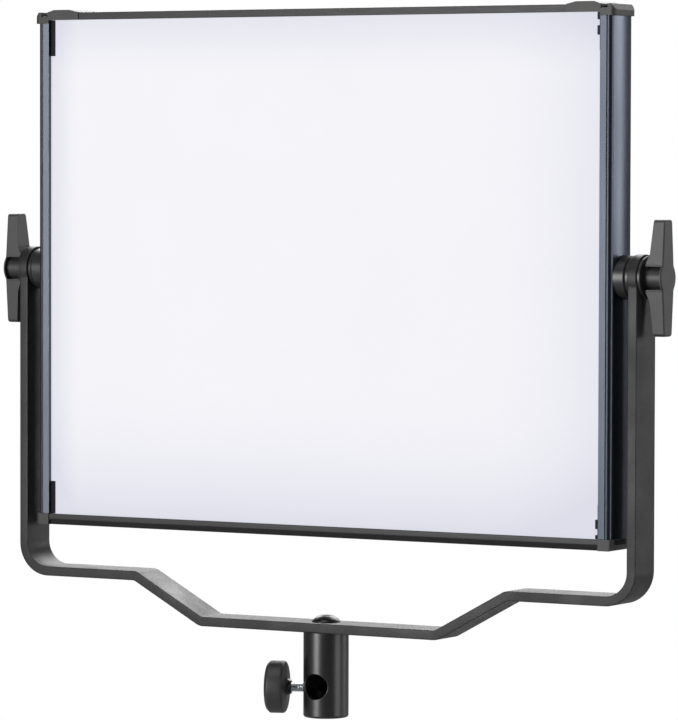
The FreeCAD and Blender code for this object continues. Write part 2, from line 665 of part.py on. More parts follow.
def make_lock_parts():
    disc = lock_part("lock_pad")
    revolve(disc, "XZ", ring("lock_pad_radius", "0", "lock_pad_start", "lock_pad_end"), "H_Axis")
    screw = lock_part("lock_screw")
    revolve(screw, "XZ", ring("lock_screw_radius", "0", "lock_pad_end", "lock_screw_end"), "H_Axis")
    knob = lock_part("lock_knob")
    rim_end = "lock_knob_start + lock_knob_rim"
    face = f"{rim_end} + lock_knob_slope"
    outline = [("lock_cone_start", "lock_screw_radius"), ("lock_cone_start", "lock_cone_tip"),
               ("lock_knob_start", "lock_cone_base"), ("lock_knob_start", "lock_knob_radius"),
               (rim_end, "lock_knob_radius"), (face, "lock_knob_radius - lock_knob_slope"),
               (face, "0"), ("lock_screw_end", "0"), ("lock_screw_end", "lock_screw_radius")]
    revolve(knob, "XZ", outline, "H_Axis")


# ---------------------------------------------------------------------------------------------
# Tilt hardware: boss, washers, stud, nut plate and T-shaped handle on each side
# ---------------------------------------------------------------------------------------------

def make_pair(label, make):
    """Two like pieces that share a node: the right one and its mirror image."""
    body = new_part(label)
    make(body)
    mirror_whole(body, "YZ")


def draw_boss(body):
    outline = [("spot_x", "stud_clear"), ("boss_out", "stud_clear"),
               ("boss_out", "boss_radius - boss_edge"), ("boss_out - boss_edge", "boss_radius"),
               ("spot_x", "boss_radius")]
    revolve(body, "XZ", outline, "H_Axis")


def draw_friction_washer(body):
    revolve(body, "XZ", ring("friction_radius", "stud_clear", "boss_out", "arm_inner"), "H_Axis")


def draw_nut_plate(body):
    outline = rectangle("-nut_half", "nut_half", "-nut_height", "nut_height")
    pad(body, "YZ", [outline, ("0", "0", "stud_thread")], "nut_inner", "nut_outer")


def make_tilt_handle():
    """Two wings that thin towards their tips, on a round hub that ends in a flange."""
    body = new_part("tilt_handle_right")
    outline = [("wing_root_wide", "-wing_root"), ("flange_radius", "0", "wing_root_wide", "wing_root"),
               ("wing_tip_wide", "wing_half"), ("-wing_tip_wide", "wing_half"),
               ("-wing_root_wide", "wing_root"),
               ("-flange_radius", "0", "-wing_root_wide", "-wing_root"),
               ("-wing_tip_wide", "-wing_half"), ("wing_tip_wide", "-wing_half")]
    pad(body, "YZ", [outline], "wing_start", "wing_outer")
    tips = [("wing_tip_wide", "wing_half"), ("wing_tip_wide", "-wing_half")]
    roots = [("wing_root_wide", "wing_root"), ("wing_root_wide", "-wing_root")]
    round_edges(body, "wing_corner", along("X", both_sides(tips)))
    round_edges(body, "wing_hollow", along("X", both_sides(roots)))
    round_edges(body, "wing_edge", around_outer_face)
    middle = rectangle("-flange_radius - over", "flange_radius + over", "-wing_root", "wing_root")
    cut(body, "YZ", [middle], "wing_start", "flange_inner_x")
    for sign in ("", "-"):
        taper = [("wing_start", f"{sign}flare_foot"), ("flare_end_x", f"{sign}flare_end"),
                 ("wing_tip_inner", f"{sign}wing_half"),
                 ("wing_start - over", f"{sign}wing_half"),
                 ("wing_start - over", f"{sign}flare_foot")]
        cut(body, "XZ", [taper], "-flange_radius", "flange_radius")
    pad(body, "YZ", [("0", "0", "hub_radius")], "loose_outer", "wing_outer - wing_edge")
    cut(body, "YZ", [("0", "0", "stud_radius")], "loose_outer", "stud_outer")
    mirrored_part("tilt_handle_left", body)


def around_outer_face(edge):
    """Edges around the handle's outer face."""
    return abs(edge.BoundBox.XMin - size("wing_outer")) < 0.01


def make_tilt_hardware():
    make_pair("pivot_bosses", draw_boss)
    make_pair("friction_washers", draw_friction_washer)
    make_pair("pivot_nuts", draw_nut_plate)
    make_tilt_handle()
    washer = new_part("tilt_washer_right")
    outer_face = "arm_inner + bar_thick"
    revolve(washer, "XZ", ring("loose_radius", "washer_hole", outer_face, "loose_outer"), "H_Axis")
    mirrored_part("tilt_washer_left", washer)
    stud = new_part("tilt_stud_right")
    revolve(stud, "XZ", ring("stud_radius", "0", "stud_inner", "stud_outer"), "H_Axis")
    mirrored_part("tilt_stud_left", stud)


# ---------------------------------------------------------------------------------------------
# Panel frame: two hollow side columns, two rails and four corner caps
# ---------------------------------------------------------------------------------------------

SLOT_FRONT = "diffuser_front - fit_gap"
SLOT_BACK = "diffuser_front + diffuser_thick + fit_gap"


def make_side_profiles():
    body = new_part("side_profile_right")
    groove = "strip_edge + groove_wide"
    slot_side = "opening + skin"
    ledge_front = "board_front + board_thick + sink_thick"
    corner_x = "flank - corner_in"
    outline = [
        ("opening", "frame_front"), ("strip_edge", "frame_front"),
        ("strip_edge", "frame_front + groove_deep"), (groove, "frame_front + groove_deep"),
        (groove, "frame_front + groove_edge"),
        (corner_x, "frame_front + corner_rise", "flank", "frame_front + corner_step"),
        ("bulge", "frame_middle", "flank", "frame_back - corner_step"),
        (corner_x, "frame_back - corner_rise", groove, "frame_back"),
        ("flange_inner", "frame_back"), ("flange_inner", "frame_back - skin"),
        ("opening", "frame_back - skin"), ("opening", f"{ledge_front} + skin"),
        ("ledge_inner", f"{ledge_front} + skin"), ("ledge_inner", ledge_front),
        ("opening", ledge_front), ("opening", SLOT_BACK), (slot_side, SLOT_BACK),
        (slot_side, SLOT_FRONT), ("opening", SLOT_FRONT)]
    hollow = rectangle("opening + skin", "cavity_outer", "-cavity_half", "cavity_half")
    channels = [("channel_x", "channel_front", "channel_radius"),
                ("channel_x", "channel_back", "channel_radius")]
    pad(body, "XY", [outline, hollow] + channels, "-column_end", "column_end")
    cut(body, "YZ", [("0", "0", "boss_radius + spot_gap")], "spot_x", "bulge + over")
    cut(body, "YZ", [("0", "0", "stud_clear")], "cavity_outer - over", "bulge")
    tapped = cut(body, "XZ", [("cover_screw_x", "-cover_screw_z", "screw_radius + fit_gap / 2")],
                 "frame_back - skin - over", "frame_back")
    repeat(body, tapped, "Z", "2 * cover_screw_z", "cover_screw_rows")
    mirrored_part("side_profile_left", body)


def make_rails():
    top = new_part("top_rail")
    outline = [
        ("frame_front", "top_open"), ("frame_front", "top_rail_top"),
        ("frame_back", "top_rail_top"), ("frame_back", "rail_flange"),
        ("frame_back - skin", "rail_flange"), ("frame_back - skin", "top_rail_top - skin"),
        ("-rail_lip", "top_rail_top - skin"), ("-rail_lip", "top_open"), (SLOT_BACK, "top_open"),
        (SLOT_BACK, "top_open + rail_slot"), (SLOT_FRONT, "top_open + rail_slot"),
        (SLOT_FRONT, "top_open")]
    pad(top, "YZ", [outline], "-opening", "opening")
    relieve_flange(top, "rail_flange - over", "column_end")
    bottom = new_part("bottom_rail")
    outline = [
        ("frame_front", "-low_open"), ("frame_front", "-low_rail_band"),
        ("frame_front + low_rail_set", "-low_rail_end"), ("frame_back", "-low_rail_end"),
        ("frame_back", "-rail_flange"), ("frame_back - skin", "-rail_flange"),
        ("frame_back - skin", "skin - low_rail_end"), ("-rail_lip", "skin - low_rail_end"),
        ("-rail_lip", "-low_open"), (SLOT_BACK, "-low_open"),
        (SLOT_BACK, "-low_open - rail_slot"), (SLOT_FRONT, "-low_open - rail_slot"),
        (SLOT_FRONT, "-low_open")]
    pad(bottom, "YZ", [outline], "-opening", "opening")
    relieve_flange(bottom, "-column_end", "over - rail_flange")


def relieve_flange(rail, low, high):
    """Shorten a rail's rear flange at both ends, where the columns' flanges are."""
    inner = "flange_inner - fit_gap"
    outer = "opening + over"
    ends = [rectangle(inner, outer, low, high), rectangle(f"-({outer})", f"-({inner})", low, high)]
    cut(rail, "XZ", ends, "frame_back - skin", "frame_back")


def make_corner_caps():
    """End caps of the columns. The upper ones carry a notch and a raised pad over the rail."""
    top = new_part("corner_cap_top_right")
    outline = [
        ("pad_start", "top_open"), ("opening", "top_open"), ("opening", "column_end"),
        ("cap_reach", "column_end"), ("cap_reach", "cap_slope_z"), ("cap_slope_x", "cap_height"),
        ("notch_outer", "cap_height"), ("notch_outer", "notch_floor"),
        ("notch_inner", "notch_floor"), ("notch_inner", "pad_foot"), ("pad_fall", "pad_top"),
        ("pad_rise", "pad_top"), ("pad_start", "pad_foot")]
    pad(top, "XZ", [outline], "cap_front", "frame_back")
    rail = rectangle("pad_start - over", "opening", "top_open - over", "top_rail_top")
    cut(top, "XZ", [rail], "frame_front", "frame_back + over")
    finish_cap(top, "")
    mirrored_part("corner_cap_top_left", top)
    low = new_part("corner_cap_bottom_right")
    outline = [("opening", "-column_end"), ("opening", "-cap_height"),
               ("cap_slope_x", "-cap_height"), ("cap_reach", "-cap_slope_z"),
               ("cap_reach", "-column_end")]
    pad(low, "XZ", [outline], "cap_front", "frame_back")
    finish_cap(low, "-")
    mirrored_part("corner_cap_bottom_left", low)


def finish_cap(body, sign):
    """Round the cap's outer upright edges and bore it for its two screws."""
    corners = [("cap_reach", "cap_front"), ("cap_reach", "frame_back")]
    round_edges(body, "cap_round", along("Z", corners))
    rows = ("channel_front", "channel_back")
    holes = [("channel_x", row, "cap_screw_radius + fit_gap") for row in rows]
    sinks = [("channel_x", row, "cap_screw_head + 2 * fit_gap") for row in rows]
    if sign:
        cut(body, "XY", holes, "-cap_height", "-column_end")
        cut(body, "XY", sinks, "-cap_height", "-notch_floor")
    else:
        cut(body, "XY", holes, "column_end", "cap_height")


# ---------------------------------------------------------------------------------------------
# Optics and light engine, from the diffuser back to the heat sink
# ---------------------------------------------------------------------------------------------

def make_diffuser():
    body = new_part("diffuser_panel")
    shoulder = "column_end - 2 * fit_gap"
    inset = "opening - 2 * fit_gap"
    right = [(inset, "-diffuser_low"), (inset, f"-({shoulder})"), ("diffuser_half", f"-({shoulder})"),
             ("diffuser_half", shoulder), (inset, shoulder), (inset, "diffuser_top")]
    left = [(f"-({x})", z) for x, z in reversed(right)]
    pad(body, "XZ", [right + left], "diffuser_front", "diffuser_front + diffuser_thick")


def make_diffuser_clips():
    """Four thin clips in the corners of the opening. The right ones are stepped."""
    body = new_part("diffuser_clips")
    side = "opening - fit_gap"
    loops = []
    for sign, edge in (("", "top_open - fit_gap"), ("-", "low_open - fit_gap")):
        steps = [("clip_spine", "clip_end"), ("clip_spine", "clip_tooth_a"),
                 ("clip_tooth", "clip_tooth_a"), ("clip_tooth", "clip_tooth_b"),
                 ("clip_spine", "clip_tooth_b"), ("clip_spine", "clip_tooth_c"),
                 ("clip_tooth", "clip_tooth_c"), ("clip_tooth", edge), (side, edge),
                 (side, "clip_end")]
        loops.append([(x, f"{sign}({z})") for x, z in steps])
        plain = [("clip_inner", "clip_end"), ("clip_inner", edge), (side, edge), (side, "clip_end")]
        loops.append([(f"-({x})", f"{sign}({z})") for x, z in plain])
    pad(body, "XZ", loops, "diffuser_front - clip_thick", "diffuser_front")


def make_light_engine():
    mixer = new_part("reflector_frame")
    outer = rectangle("-mixer_half", "mixer_half", "-mixer_height", "mixer_height")
    inner = rectangle("mixer_wall - mixer_half", "mixer_half - mixer_wall",
                      "mixer_wall - mixer_height", "mixer_height - mixer_wall")
    pad(mixer, "XZ", [outer, inner], "mixer_front", "board_front - fit_gap")

    board = new_part("led_board")
    outline = rectangle("-board_half", "board_half", "-board_height", "board_height")
    pad(board, "XZ", [outline], "board_front", "board_front + board_thick")

    emitters = new_part("led_packages")
    first = rectangle("-emitter_half_x", "emitter_size - emitter_half_x",
                      "-emitter_half_z", "emitter_size - emitter_half_z")
    pad(emitters, "XZ", [first], "board_front - emitter_thick", "board_front")
    repeat(emitters, None, "X", "2 * emitter_half_x - emitter_size", "emitter_columns",
           ("Z", "2 * emitter_half_z - emitter_size", "emitter_rows"))


def make_heat_sink():
    body = new_part("heat_sink")
    front = "board_front + board_thick"
    plate = rectangle("-mixer_half", "mixer_half", "-sink_height", "sink_height")
    pad(body, "XZ", [plate, ("cable_x", "cable_z", "cable_hole")], front, f"{front} + sink_thick")
    fin = rectangle("-fin_span - fin_thick / 2", "fin_thick / 2 - fin_span", "-fin_half", "fin_half")
    first = pad(body, "XZ", [fin], f"{front} + sink_thick", "fin_tip")
    repeat(body, first, "X", "2 * fin_span", "fin_count")


def make_led_cable():
    """Cable from the light-emitting board to the driver, with an S-shaped drop behind the sink."""
    body = new_part("led_cable")
    start = "board_front + board_thick"
    bend = "cable_drop / 2"
    turn_y = "driver_front - cable_drop - cable_lead"
    spine = new_sketch(body, "YZ", "cable_x")
    height = size("cable_z")
    first_y = size(turn_y)
    radius = size(bend)
    diagonal = radius * 0.5 ** 0.5
    spine.addGeometry(Part.LineSegment(Vector(size(start), height, 0), Vector(first_y, height, 0)))
    spine.addGeometry(Part.Arc(
        Vector(first_y, height, 0), Vector(first_y + diagonal, height - radius + diagonal, 0),
        Vector(first_y + radius, height - radius, 0)))
    last_y = first_y + 2 * radius
    spine.addGeometry(Part.Arc(
        Vector(first_y + radius, height - radius, 0),
        Vector(last_y - diagonal, height - radius - diagonal, 0),
        Vector(last_y, height - 2 * radius, 0)))
    spine.addGeometry(Part.LineSegment(
        Vector(last_y, height - 2 * radius, 0), Vector(size("driver_front"), height - 2 * radius, 0)))
    section = new_sketch(body, "XZ", f"-({start})")
    draw_circle(section, "cable_x", "cable_z", "cable_radius")
    pipe = body.newObject("PartDesign::AdditivePipe", "AdditivePipe")
    pipe.Profile = section
    pipe.Spine = (spine, [])


# ---------------------------------------------------------------------------------------------
# Rear cover, control housing and what it holds
# ---------------------------------------------------------------------------------------------

def make_rear_cover():
    body = new_part("rear_cover")
    back = "frame_back + cover_thick"
    outline = rectangle("-cover_half", "cover_half", "-cover_height", "cover_height")
    corners = [("cover_half", "cover_height"), ("cover_half", "-cover_height")]
    pad(body, "XZ", [outline], "frame_back", back)
    round_edges(body, "cover_corner", along("Y", both_sides(corners)))
    port = rectangle("-port_half", "port_half", "port_low", "port_high")
    posts = [("pillar_x", "pillar_low"), ("pillar_x", "pillar_high"),
             ("plate_screw_x", "plate_screw_low"), ("plate_screw_x", "plate_screw_high")]
    holes = [(x, z, "screw_radius + fit_gap / 2") for x, z in both_sides(posts)]
    cut(body, "XZ", [port] + holes, "frame_back", back)
    low, high = "vent_low - vent_tall / 2", "vent_low + vent_tall / 2"
    round_end = "vent_tall / 2"
    slots = [vent_outline("", low, high, round_end), vent_outline("-", low, high, round_end)]
    vents = cut(body, "XZ", slots, "frame_back", back)
    repeat(body, vents, "Z", "vent_run", "vent_count")
    edge = [(x, "-cover_screw_z", "screw_radius + fit_gap") for x in ("cover_screw_x", "-cover_screw_x")]
    drilled = cut(body, "XZ", edge, "frame_back", back)
    repeat(body, drilled, "Z", "2 * cover_screw_z", "cover_screw_rows")


def vent_outline(sign, low, high, round_end):
    """Slot with half-round ends on the right, or on the left with a minus sign."""
    return [(f"{sign}vent_outer", low),
            (f"{sign}(vent_outer + {round_end})", "vent_low", f"{sign}vent_outer", high),
            (f"{sign}vent_inner", high),
            (f"{sign}(vent_inner - {round_end})", "vent_low", f"{sign}vent_inner", low)]


def make_screws(label, corner, seat, tip, run_x, run_z, rows):
    """Round-headed screws along Y at the corners, or in two rows, of a rectangle."""
    body = new_part(label)
    x, z = corner
    pad(body, "XZ", [(x, z, "screw_radius")], tip, seat)
    pad(body, "XZ", [(x, z, "screw_head")], seat, f"{seat} + screw_crown")
    cut(body, "XZ", [(x, z, "screw_key")], f"{seat} + screw_crown - screw_key_deep",
        f"{seat} + screw_crown")
    repeat(body, None, "X", run_x, "2", ("Z", run_z, rows))


def make_all_screws():
    make_screws("cover_screws", ("-cover_screw_x", "-cover_screw_z"), "frame_back + cover_thick",
                "cover_screw_end", "2 * cover_screw_x", "2 * cover_screw_z", "cover_screw_rows")
    make_screws("housing_screws", ("-pillar_x", "pillar_low"), "box_back - screw_crown",
                "long_screw_end", "2 * pillar_x", "pillar_high - pillar_low", "2")
    make_screws("battery_plate_screws", ("-plate_screw_x", "plate_screw_low"),
                "plate_back - screw_crown", "long_screw_end", "2 * plate_screw_x",
                "plate_screw_high - plate_screw_low", "2")
    body = new_part("cap_screws")
    rows = ("channel_front", "channel_back")
    pad(body, "XY", [("channel_x", row, "cap_screw_radius") for row in rows],
        "cap_screw_tip", "notch_floor")
    pad(body, "XY", [("channel_x", row, "cap_screw_head") for row in rows],
        "notch_floor", "notch_floor + cap_screw_crown")
    mirror_whole(body, "YZ")
    mirror_whole(body, "XY")


def make_control_housing():
    body = new_part("control_housing")
    front = "frame_back + cover_thick"
    floor = "box_back - box_wall"
    outline = rectangle("-box_half", "box_half", "box_low", "box_high")
    pad(body, "XZ", [outline], front, "box_back")
    corners = [("box_half", "box_low"), ("box_half", "box_high")]
    round_edges(body, "box_corner", along("Y", both_sides(corners)))
    round_edges(body, "box_edge", around_rear("box_back"))
    hollow = rectangle("box_wall - box_half", "box_half - box_wall", "box_low + box_wall",
                       "box_high - box_wall")
    cut(body, "XZ", [hollow], front, floor)
    posts = both_sides([("pillar_x", "pillar_low"), ("pillar_x", "pillar_high")])
    pad(body, "XZ", [(x, z, "pillar_radius") for x, z in posts], front, "box_back - screw_crown")
    cut(body, "XZ", [(x, z, "screw_radius + fit_gap") for x, z in posts], front, "box_back")
    cut(body, "XZ", [(x, z, "screw_head + fit_gap") for x, z in posts],
        "box_back - screw_crown", "box_back")
    seat = rectangle("window_low_x", "window_high_x", "window_low", "window_high")
    cut(body, "XZ", [seat], "box_back - window_seat", "box_back")
    view = rectangle("window_low_x + window_ledge", "window_high_x - window_ledge",
                     "window_low + window_ledge", "window_high - window_ledge")
    shafts = [("dial_first", "dial_z", "shaft_hole"), ("dial_second", "dial_z", "shaft_hole")]
    buttons = [(f"button_first + {step} * button_step", "button_z", "button_hole") for step in range(3)]
    sleeve_x = "sleeve_in_x + sleeve_wall + fit_gap"
    sleeve_z = "sleeve_in_z + sleeve_wall + fit_gap"
    rocker = rectangle(f"rocker_x - ({sleeve_x})", f"rocker_x + {sleeve_x}",
                       f"rocker_z - ({sleeve_z})", f"rocker_z + {sleeve_z}")
    cut(body, "XZ", [view, rocker] + shafts + buttons, floor, "box_back")
    data = rectangle("inlet_y - port_wide - fit_gap", "inlet_y + port_wide + fit_gap",
                     "port_z - port_tall - fit_gap", "port_z + port_tall + fit_gap")
    cut(body, "YZ", [data, ("inlet_y", "inlet_z", "inlet_radius + fit_gap")],
        "-box_half", "box_wall - box_half")


def make_display():
    window = new_part("display_window")
    gap = "fit_gap"
    outline = rectangle(f"window_low_x + {gap}", f"window_high_x - {gap}",
                        f"window_low + {gap}", f"window_high - {gap}")
    seat = "box_back - window_seat"
    pad(window, "XZ", [outline], seat, f"{seat} + window_thick")
    module = new_part("display_module")
    outline = rectangle("window_low_x", "window_high_x", "window_low", "window_high")
    pad(module, "XZ", [outline], "control_front + board_thick", "box_back - box_wall - fit_gap")


def make_boards():
    control = new_part("control_board")
    outline = rectangle("-control_half", "control_half", "control_low", "control_high")
    pad(control, "XZ", [outline], "control_front", "control_front + board_thick")
    driver = new_part("driver_board")
    outline = rectangle("-control_half", "control_half", "driver_low", "driver_high")
    pad(driver, "XZ", [outline], "driver_front", "driver_front + board_thick")
    blocks = new_part("driver_components")
    loops = [rectangle(f"{name}_left", f"{name}_right", f"{name}_low", f"{name}_high")
             for name in ("coil", "sink", "relay")]
    loops += [(f"can_first + {step} * can_step", "can_z", "can_radius") for step in range(3)]
    back = "driver_front + board_thick"
    pad(blocks, "XZ", loops, back, f"{back} + driver_part")
    switches = new_part("button_switches")
    loops = []
    for step in range(3):
        middle = f"button_first + {step} * button_step"
        loops.append(rectangle(f"{middle} - switch_half", f"{middle} + switch_half",
                               "button_z - switch_half", "button_z + switch_half"))
    back = "control_front + board_thick"
    pad(switches, "XZ", loops, back, f"{back} + switch_tall")


def make_dials():
    """Two encoders on the control board, each with a shaft and a dial of its own."""
    back = "control_front + board_thick"
    tip = "control_front + board_thick + shaft_foot"
    seat = "box_back + dial_gap"
    encoders = new_part("dial_encoders")
    dials = ("dial_first", "dial_second")
    squares = [rectangle(f"{x} - encoder_half", f"{x} + encoder_half",
                         "dial_z - encoder_half", "dial_z + encoder_half") for x in dials]
    pad(encoders, "XZ", squares, back, "box_back - box_wall - fit_gap")
    cut(encoders, "XZ", [(x, "dial_z", "shaft_clear") for x in dials],
        f"{tip} - fit_gap", "box_back - box_wall")
    for name, x in (("brightness", "dial_first"), ("colour", "dial_second")):
        shaft = new_part(name + "_shaft", place=(x, "0", "dial_z"))
        revolve(shaft, "XY", ring_along_y("shaft_radius", "0", tip, f"{seat} + shaft_seat"), "V_Axis")
        dial = new_part(name + "_dial", place=(x, "0", "dial_z"))
        end = f"{seat} + dial_length"
        outline = [("shaft_radius", seat), ("dial_radius", seat), ("dial_radius", f"{end} - dial_slope"),
                   ("dial_radius - dial_slope", end), ("0", end), ("0", f"{seat} + shaft_seat"),
                   ("shaft_radius", f"{seat} + shaft_seat")]
        revolve(dial, "XY", outline, "V_Axis")


def ring_along_y(outer, inner, start, end):
    return [(inner, start), (outer, start), (outer, end), (inner, end)]


def make_buttons():
    collar_back = "box_back - box_wall - button_rest"
    collar_front = f"{collar_back} - button_collar"
    names = ("preset_button", "mode_button", "menu_button")
    for step, name in enumerate(names):
        button = new_part(name, place=(f"button_first + {step} * button_step", "0", "button_z"))
        outline = [("0", collar_front), ("button_flange", collar_front), ("button_flange", collar_back),
                   ("button_radius", collar_back), ("button_radius", "box_back + button_proud"),
                   ("0", "box_back + button_proud")]
        revolve(button, "XY", outline, "V_Axis")


def make_power_rocker():
    """Rocker that leans to one side at rest, on trunnions in its bezel's sleeve."""
    rocker = new_part("power_rocker", place=("rocker_x", "rocker_pivot", "rocker_z"))
    outline = [("-rocker_deep", "-rocker_half"), ("rocker_tip", "-rocker_half"), ("rocker_dip", "0"),
               ("rocker_tip", "rocker_half"), ("-rocker_deep", "rocker_half")]
    pad(rocker, "YZ", [outline], "-rocker_wide", "rocker_wide")
    trunnion = "sleeve_in_x + sleeve_wall - fit_gap"
    pad(rocker, "YZ", [("0", "0", "rocker_pin")], f"-({trunnion})", trunnion)
    rocker.Placement.Rotation = FreeCAD.Rotation(Vector(1, 0, 0), 1)
    rocker.setExpression("Placement.Rotation.Angle", bound("rocker_lean") + " * 1deg")

    bezel = new_part("rocker_bezel", place=("rocker_x", "0", "rocker_z"))
    inner = rectangle("-sleeve_in_x", "sleeve_in_x", "-sleeve_in_z", "sleeve_in_z")
    out_x = "sleeve_in_x + sleeve_wall"
    out_z = "sleeve_in_z + sleeve_wall"
    sleeve = rectangle(f"-({out_x})", out_x, f"-({out_z})", out_z)
    pad(bezel, "XZ", [sleeve, inner], "sleeve_front", "box_back")
    rim = rectangle(f"-({out_x} + bezel_lip)", f"{out_x} + bezel_lip",
                    f"-({out_z} + bezel_lip)", f"{out_z} + bezel_lip")
    pad(bezel, "XZ", [rim, inner], "box_back", "box_back + bezel_thick")
    cut(bezel, "YZ", [("rocker_pivot", "0", "rocker_bearing")], f"-({out_x})", out_x)


def make_sockets():
    """Barrel socket for power and a small data port, both in the housing's left wall."""
    outside = "-box_half"
    inlet = new_part("power_inlet")
    barrel = ("inlet_y", "inlet_z", "inlet_radius")
    pad(inlet, "YZ", [barrel], outside, "inlet_length - box_half")
    pad(inlet, "YZ", [("inlet_y", "inlet_z", "inlet_lip")], "-box_half - lip_thick", outside)
    cut(inlet, "YZ", [("inlet_y", "inlet_z", "inlet_core"), ("inlet_y", "inlet_z", "inlet_pin")],
        "-box_half - lip_thick", "inlet_length - box_half - skin")
    port = new_part("data_port")
    outer = rectangle("inlet_y - port_wide", "inlet_y + port_wide",
                      "port_z - port_tall", "port_z + port_tall")
    inner = rectangle("inlet_y - port_wide + port_shell", "inlet_y + port_wide - port_shell",
                      "port_z - port_tall + port_shell", "port_z + port_tall - port_shell")
    pad(port, "YZ", [outer], "-box_half", "inlet_length - box_half")
    cut(port, "YZ", [inner], "-box_half", "inlet_length - box_half - skin")


# ---------------------------------------------------------------------------------------------
# Battery plate with its release latch
# ---------------------------------------------------------------------------------------------

def wedge_outline(extra):
    """Wedge that widens upwards and runs out of the plate's top."""
    low = [(f"wedge_foot + {extra}", "wedge_low"), (f"wedge_top + {extra}", "plate_high")]
    return low + [(f"-({x})", z) for x, z in reversed(low)]


def make_battery_plate():
    body = new_part("battery_plate")
    front = "frame_back + cover_thick"
    outline = rectangle("-plate_half", "plate_half", "plate_low", "plate_high")
    pad(body, "XZ", [outline], front, "plate_back")
    corners = [("plate_half", "plate_low"), ("plate_half", "plate_high")]
    round_edges(body, "plate_corner", along("Y", both_sides(corners)))
    round_edges(body, "plate_edge", around_rear("plate_back"))
    cut(body, "XZ", [wedge_outline("0")], "plate_back - wedge_deep", "plate_back")
    cut(body, "XZ", [wedge_outline("undercut")], "plate_back - wedge_deep", "plate_back - lip_deep")
    room = rectangle("latch_inner - latch_room", "plate_half", "latch_low - latch_gap",
                     "latch_high + latch_gap")
    cut(body, "XZ", [room], "latch_front - latch_gap", "latch_back + latch_gap")
    posts = both_sides([("plate_screw_x", "plate_screw_low"), ("plate_screw_x", "plate_screw_high")])
    cut(body, "XZ", [(x, z, "screw_radius + fit_gap") for x, z in posts], front, "plate_back")
    cut(body, "XZ", [(x, z, "screw_head + fit_gap") for x, z in posts],
        "plate_back - screw_crown", "plate_back")

    terminal = new_part("battery_terminal")
    block = rectangle("-terminal_half", "terminal_half", "terminal_low", "terminal_high")
    pad(terminal, "XZ", [block], "plate_back", "plate_back + terminal_proud")
    contacts = new_part("battery_contacts")
    middle = "(terminal_low + terminal_high) / 2"
    blades = []
    for step in (-1.5, -0.5, 0.5, 1.5):
        centre = f"{step} * contact_pitch"
        blades.append(rectangle(f"{centre} - contact_half", f"{centre} + contact_half",
                                f"{middle} - 2 * contact_half", f"{middle} + 2 * contact_half"))
    top = "plate_back + terminal_proud"
    pad(contacts, "XZ", blades, top, f"{top} + contact_proud")
    latch = new_part("release_latch")
    bar = rectangle("latch_inner", "plate_half + latch_proud", "latch_low", "latch_high")
    pad(latch, "XZ", [bar], "latch_front", "latch_back")


def make_everything():
    fill_sheet()
    make_yoke_bracket()
    make_stand_receiver()
    make_receiver_bolt()
    make_lock_parts()
    make_tilt_hardware()
    make_side_profiles()
    make_rails()
    make_corner_caps()
    make_diffuser()
    make_diffuser_clips()
    make_light_engine()
    make_heat_sink()
    make_led_cable()
    make_rear_cover()
    make_all_screws()
    make_control_housing()
    make_display()
    make_boards()
    make_dials()
    make_buttons()
    make_power_rocker()
    make_sockets()
    make_battery_plate()
    doc.recompute()


def check_and_export():
    for item in doc.Objects:
        if "Invalid" in item.State or "Error" in item.State:
            raise RuntimeError(f"{item.Label} failed: {item.State}")
        if item.TypeId == "PartDesign::Pocket" and item.Shape.Volume >= item.BaseFeature.Shape.Volume:
            raise RuntimeError(f"{item.Label} cuts nothing")
    os.makedirs("parts", exist_ok=True)
    for part in parts:
        if part.Shape.isNull() or not part.Shape.isValid():
            raise RuntimeError(f"{part.Label} has no valid shape")
        part.Shape.exportStep(f"parts/{part.Label}.step")


make_everything()
check_and_export()
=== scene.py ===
"""LED panel light on a U-shaped yoke: finishes, finer pieces, studio and camera.

All lengths are metres in the part's own frame: +Z up, the light shines towards -Y, +X is on the
right seen from the front, and the origin is the centre of the stand socket's mouth.
"""
import json
import math

import bmesh
import bpy
from mathutils import Matrix, Vector


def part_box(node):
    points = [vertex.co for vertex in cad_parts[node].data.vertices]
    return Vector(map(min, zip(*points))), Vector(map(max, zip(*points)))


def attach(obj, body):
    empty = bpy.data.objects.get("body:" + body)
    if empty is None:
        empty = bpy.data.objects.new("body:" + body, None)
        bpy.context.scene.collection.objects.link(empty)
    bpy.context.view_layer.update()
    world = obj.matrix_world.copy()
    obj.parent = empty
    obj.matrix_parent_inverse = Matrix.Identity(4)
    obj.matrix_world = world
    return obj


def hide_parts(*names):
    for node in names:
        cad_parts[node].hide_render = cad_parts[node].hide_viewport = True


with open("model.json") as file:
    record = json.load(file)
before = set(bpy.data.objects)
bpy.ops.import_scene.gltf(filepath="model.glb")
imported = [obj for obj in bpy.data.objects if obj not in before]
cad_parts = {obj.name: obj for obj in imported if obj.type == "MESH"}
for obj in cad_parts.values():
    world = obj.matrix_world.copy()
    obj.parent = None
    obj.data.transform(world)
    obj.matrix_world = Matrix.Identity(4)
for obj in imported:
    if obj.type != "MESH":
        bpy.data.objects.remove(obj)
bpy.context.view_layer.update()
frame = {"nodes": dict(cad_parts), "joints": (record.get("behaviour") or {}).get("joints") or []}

MM = 0.001
NODES = frame["nodes"]
JOINTS = {joint["name"]: joint for joint in frame["joints"]}
SMOOTH_BELOW = math.radians(32)  # edges flatter than this are shaded smooth

# finishes
BLOTCH = 30 * MM  # size of the slow variation in a coating
RUBBED_SMOOTH = -0.08  # change in roughness where an edge is worn
LAND_REACH = 0.19  # the columns' front lands are about this far from the middle; across this span the lands go from painted light on the left to painted shade on the right
OPAL_PAINTED_LIGHT = 0.86  # emission strength of the diffuser: painted light that stands in for the studio light falling on the white sheet

# lock screw thread
THREAD_PITCH = 1.0 * MM
THREAD_DEPTH = 0.5 * MM
THREAD_RADIUS = 2.94 * MM
THREAD_ENDS = (12.0 * MM, 33.0 * MM)  # along the lock axis

# dials
KNURL_RIDGES = 48
KNURL_DEPTH = 0.35 * MM

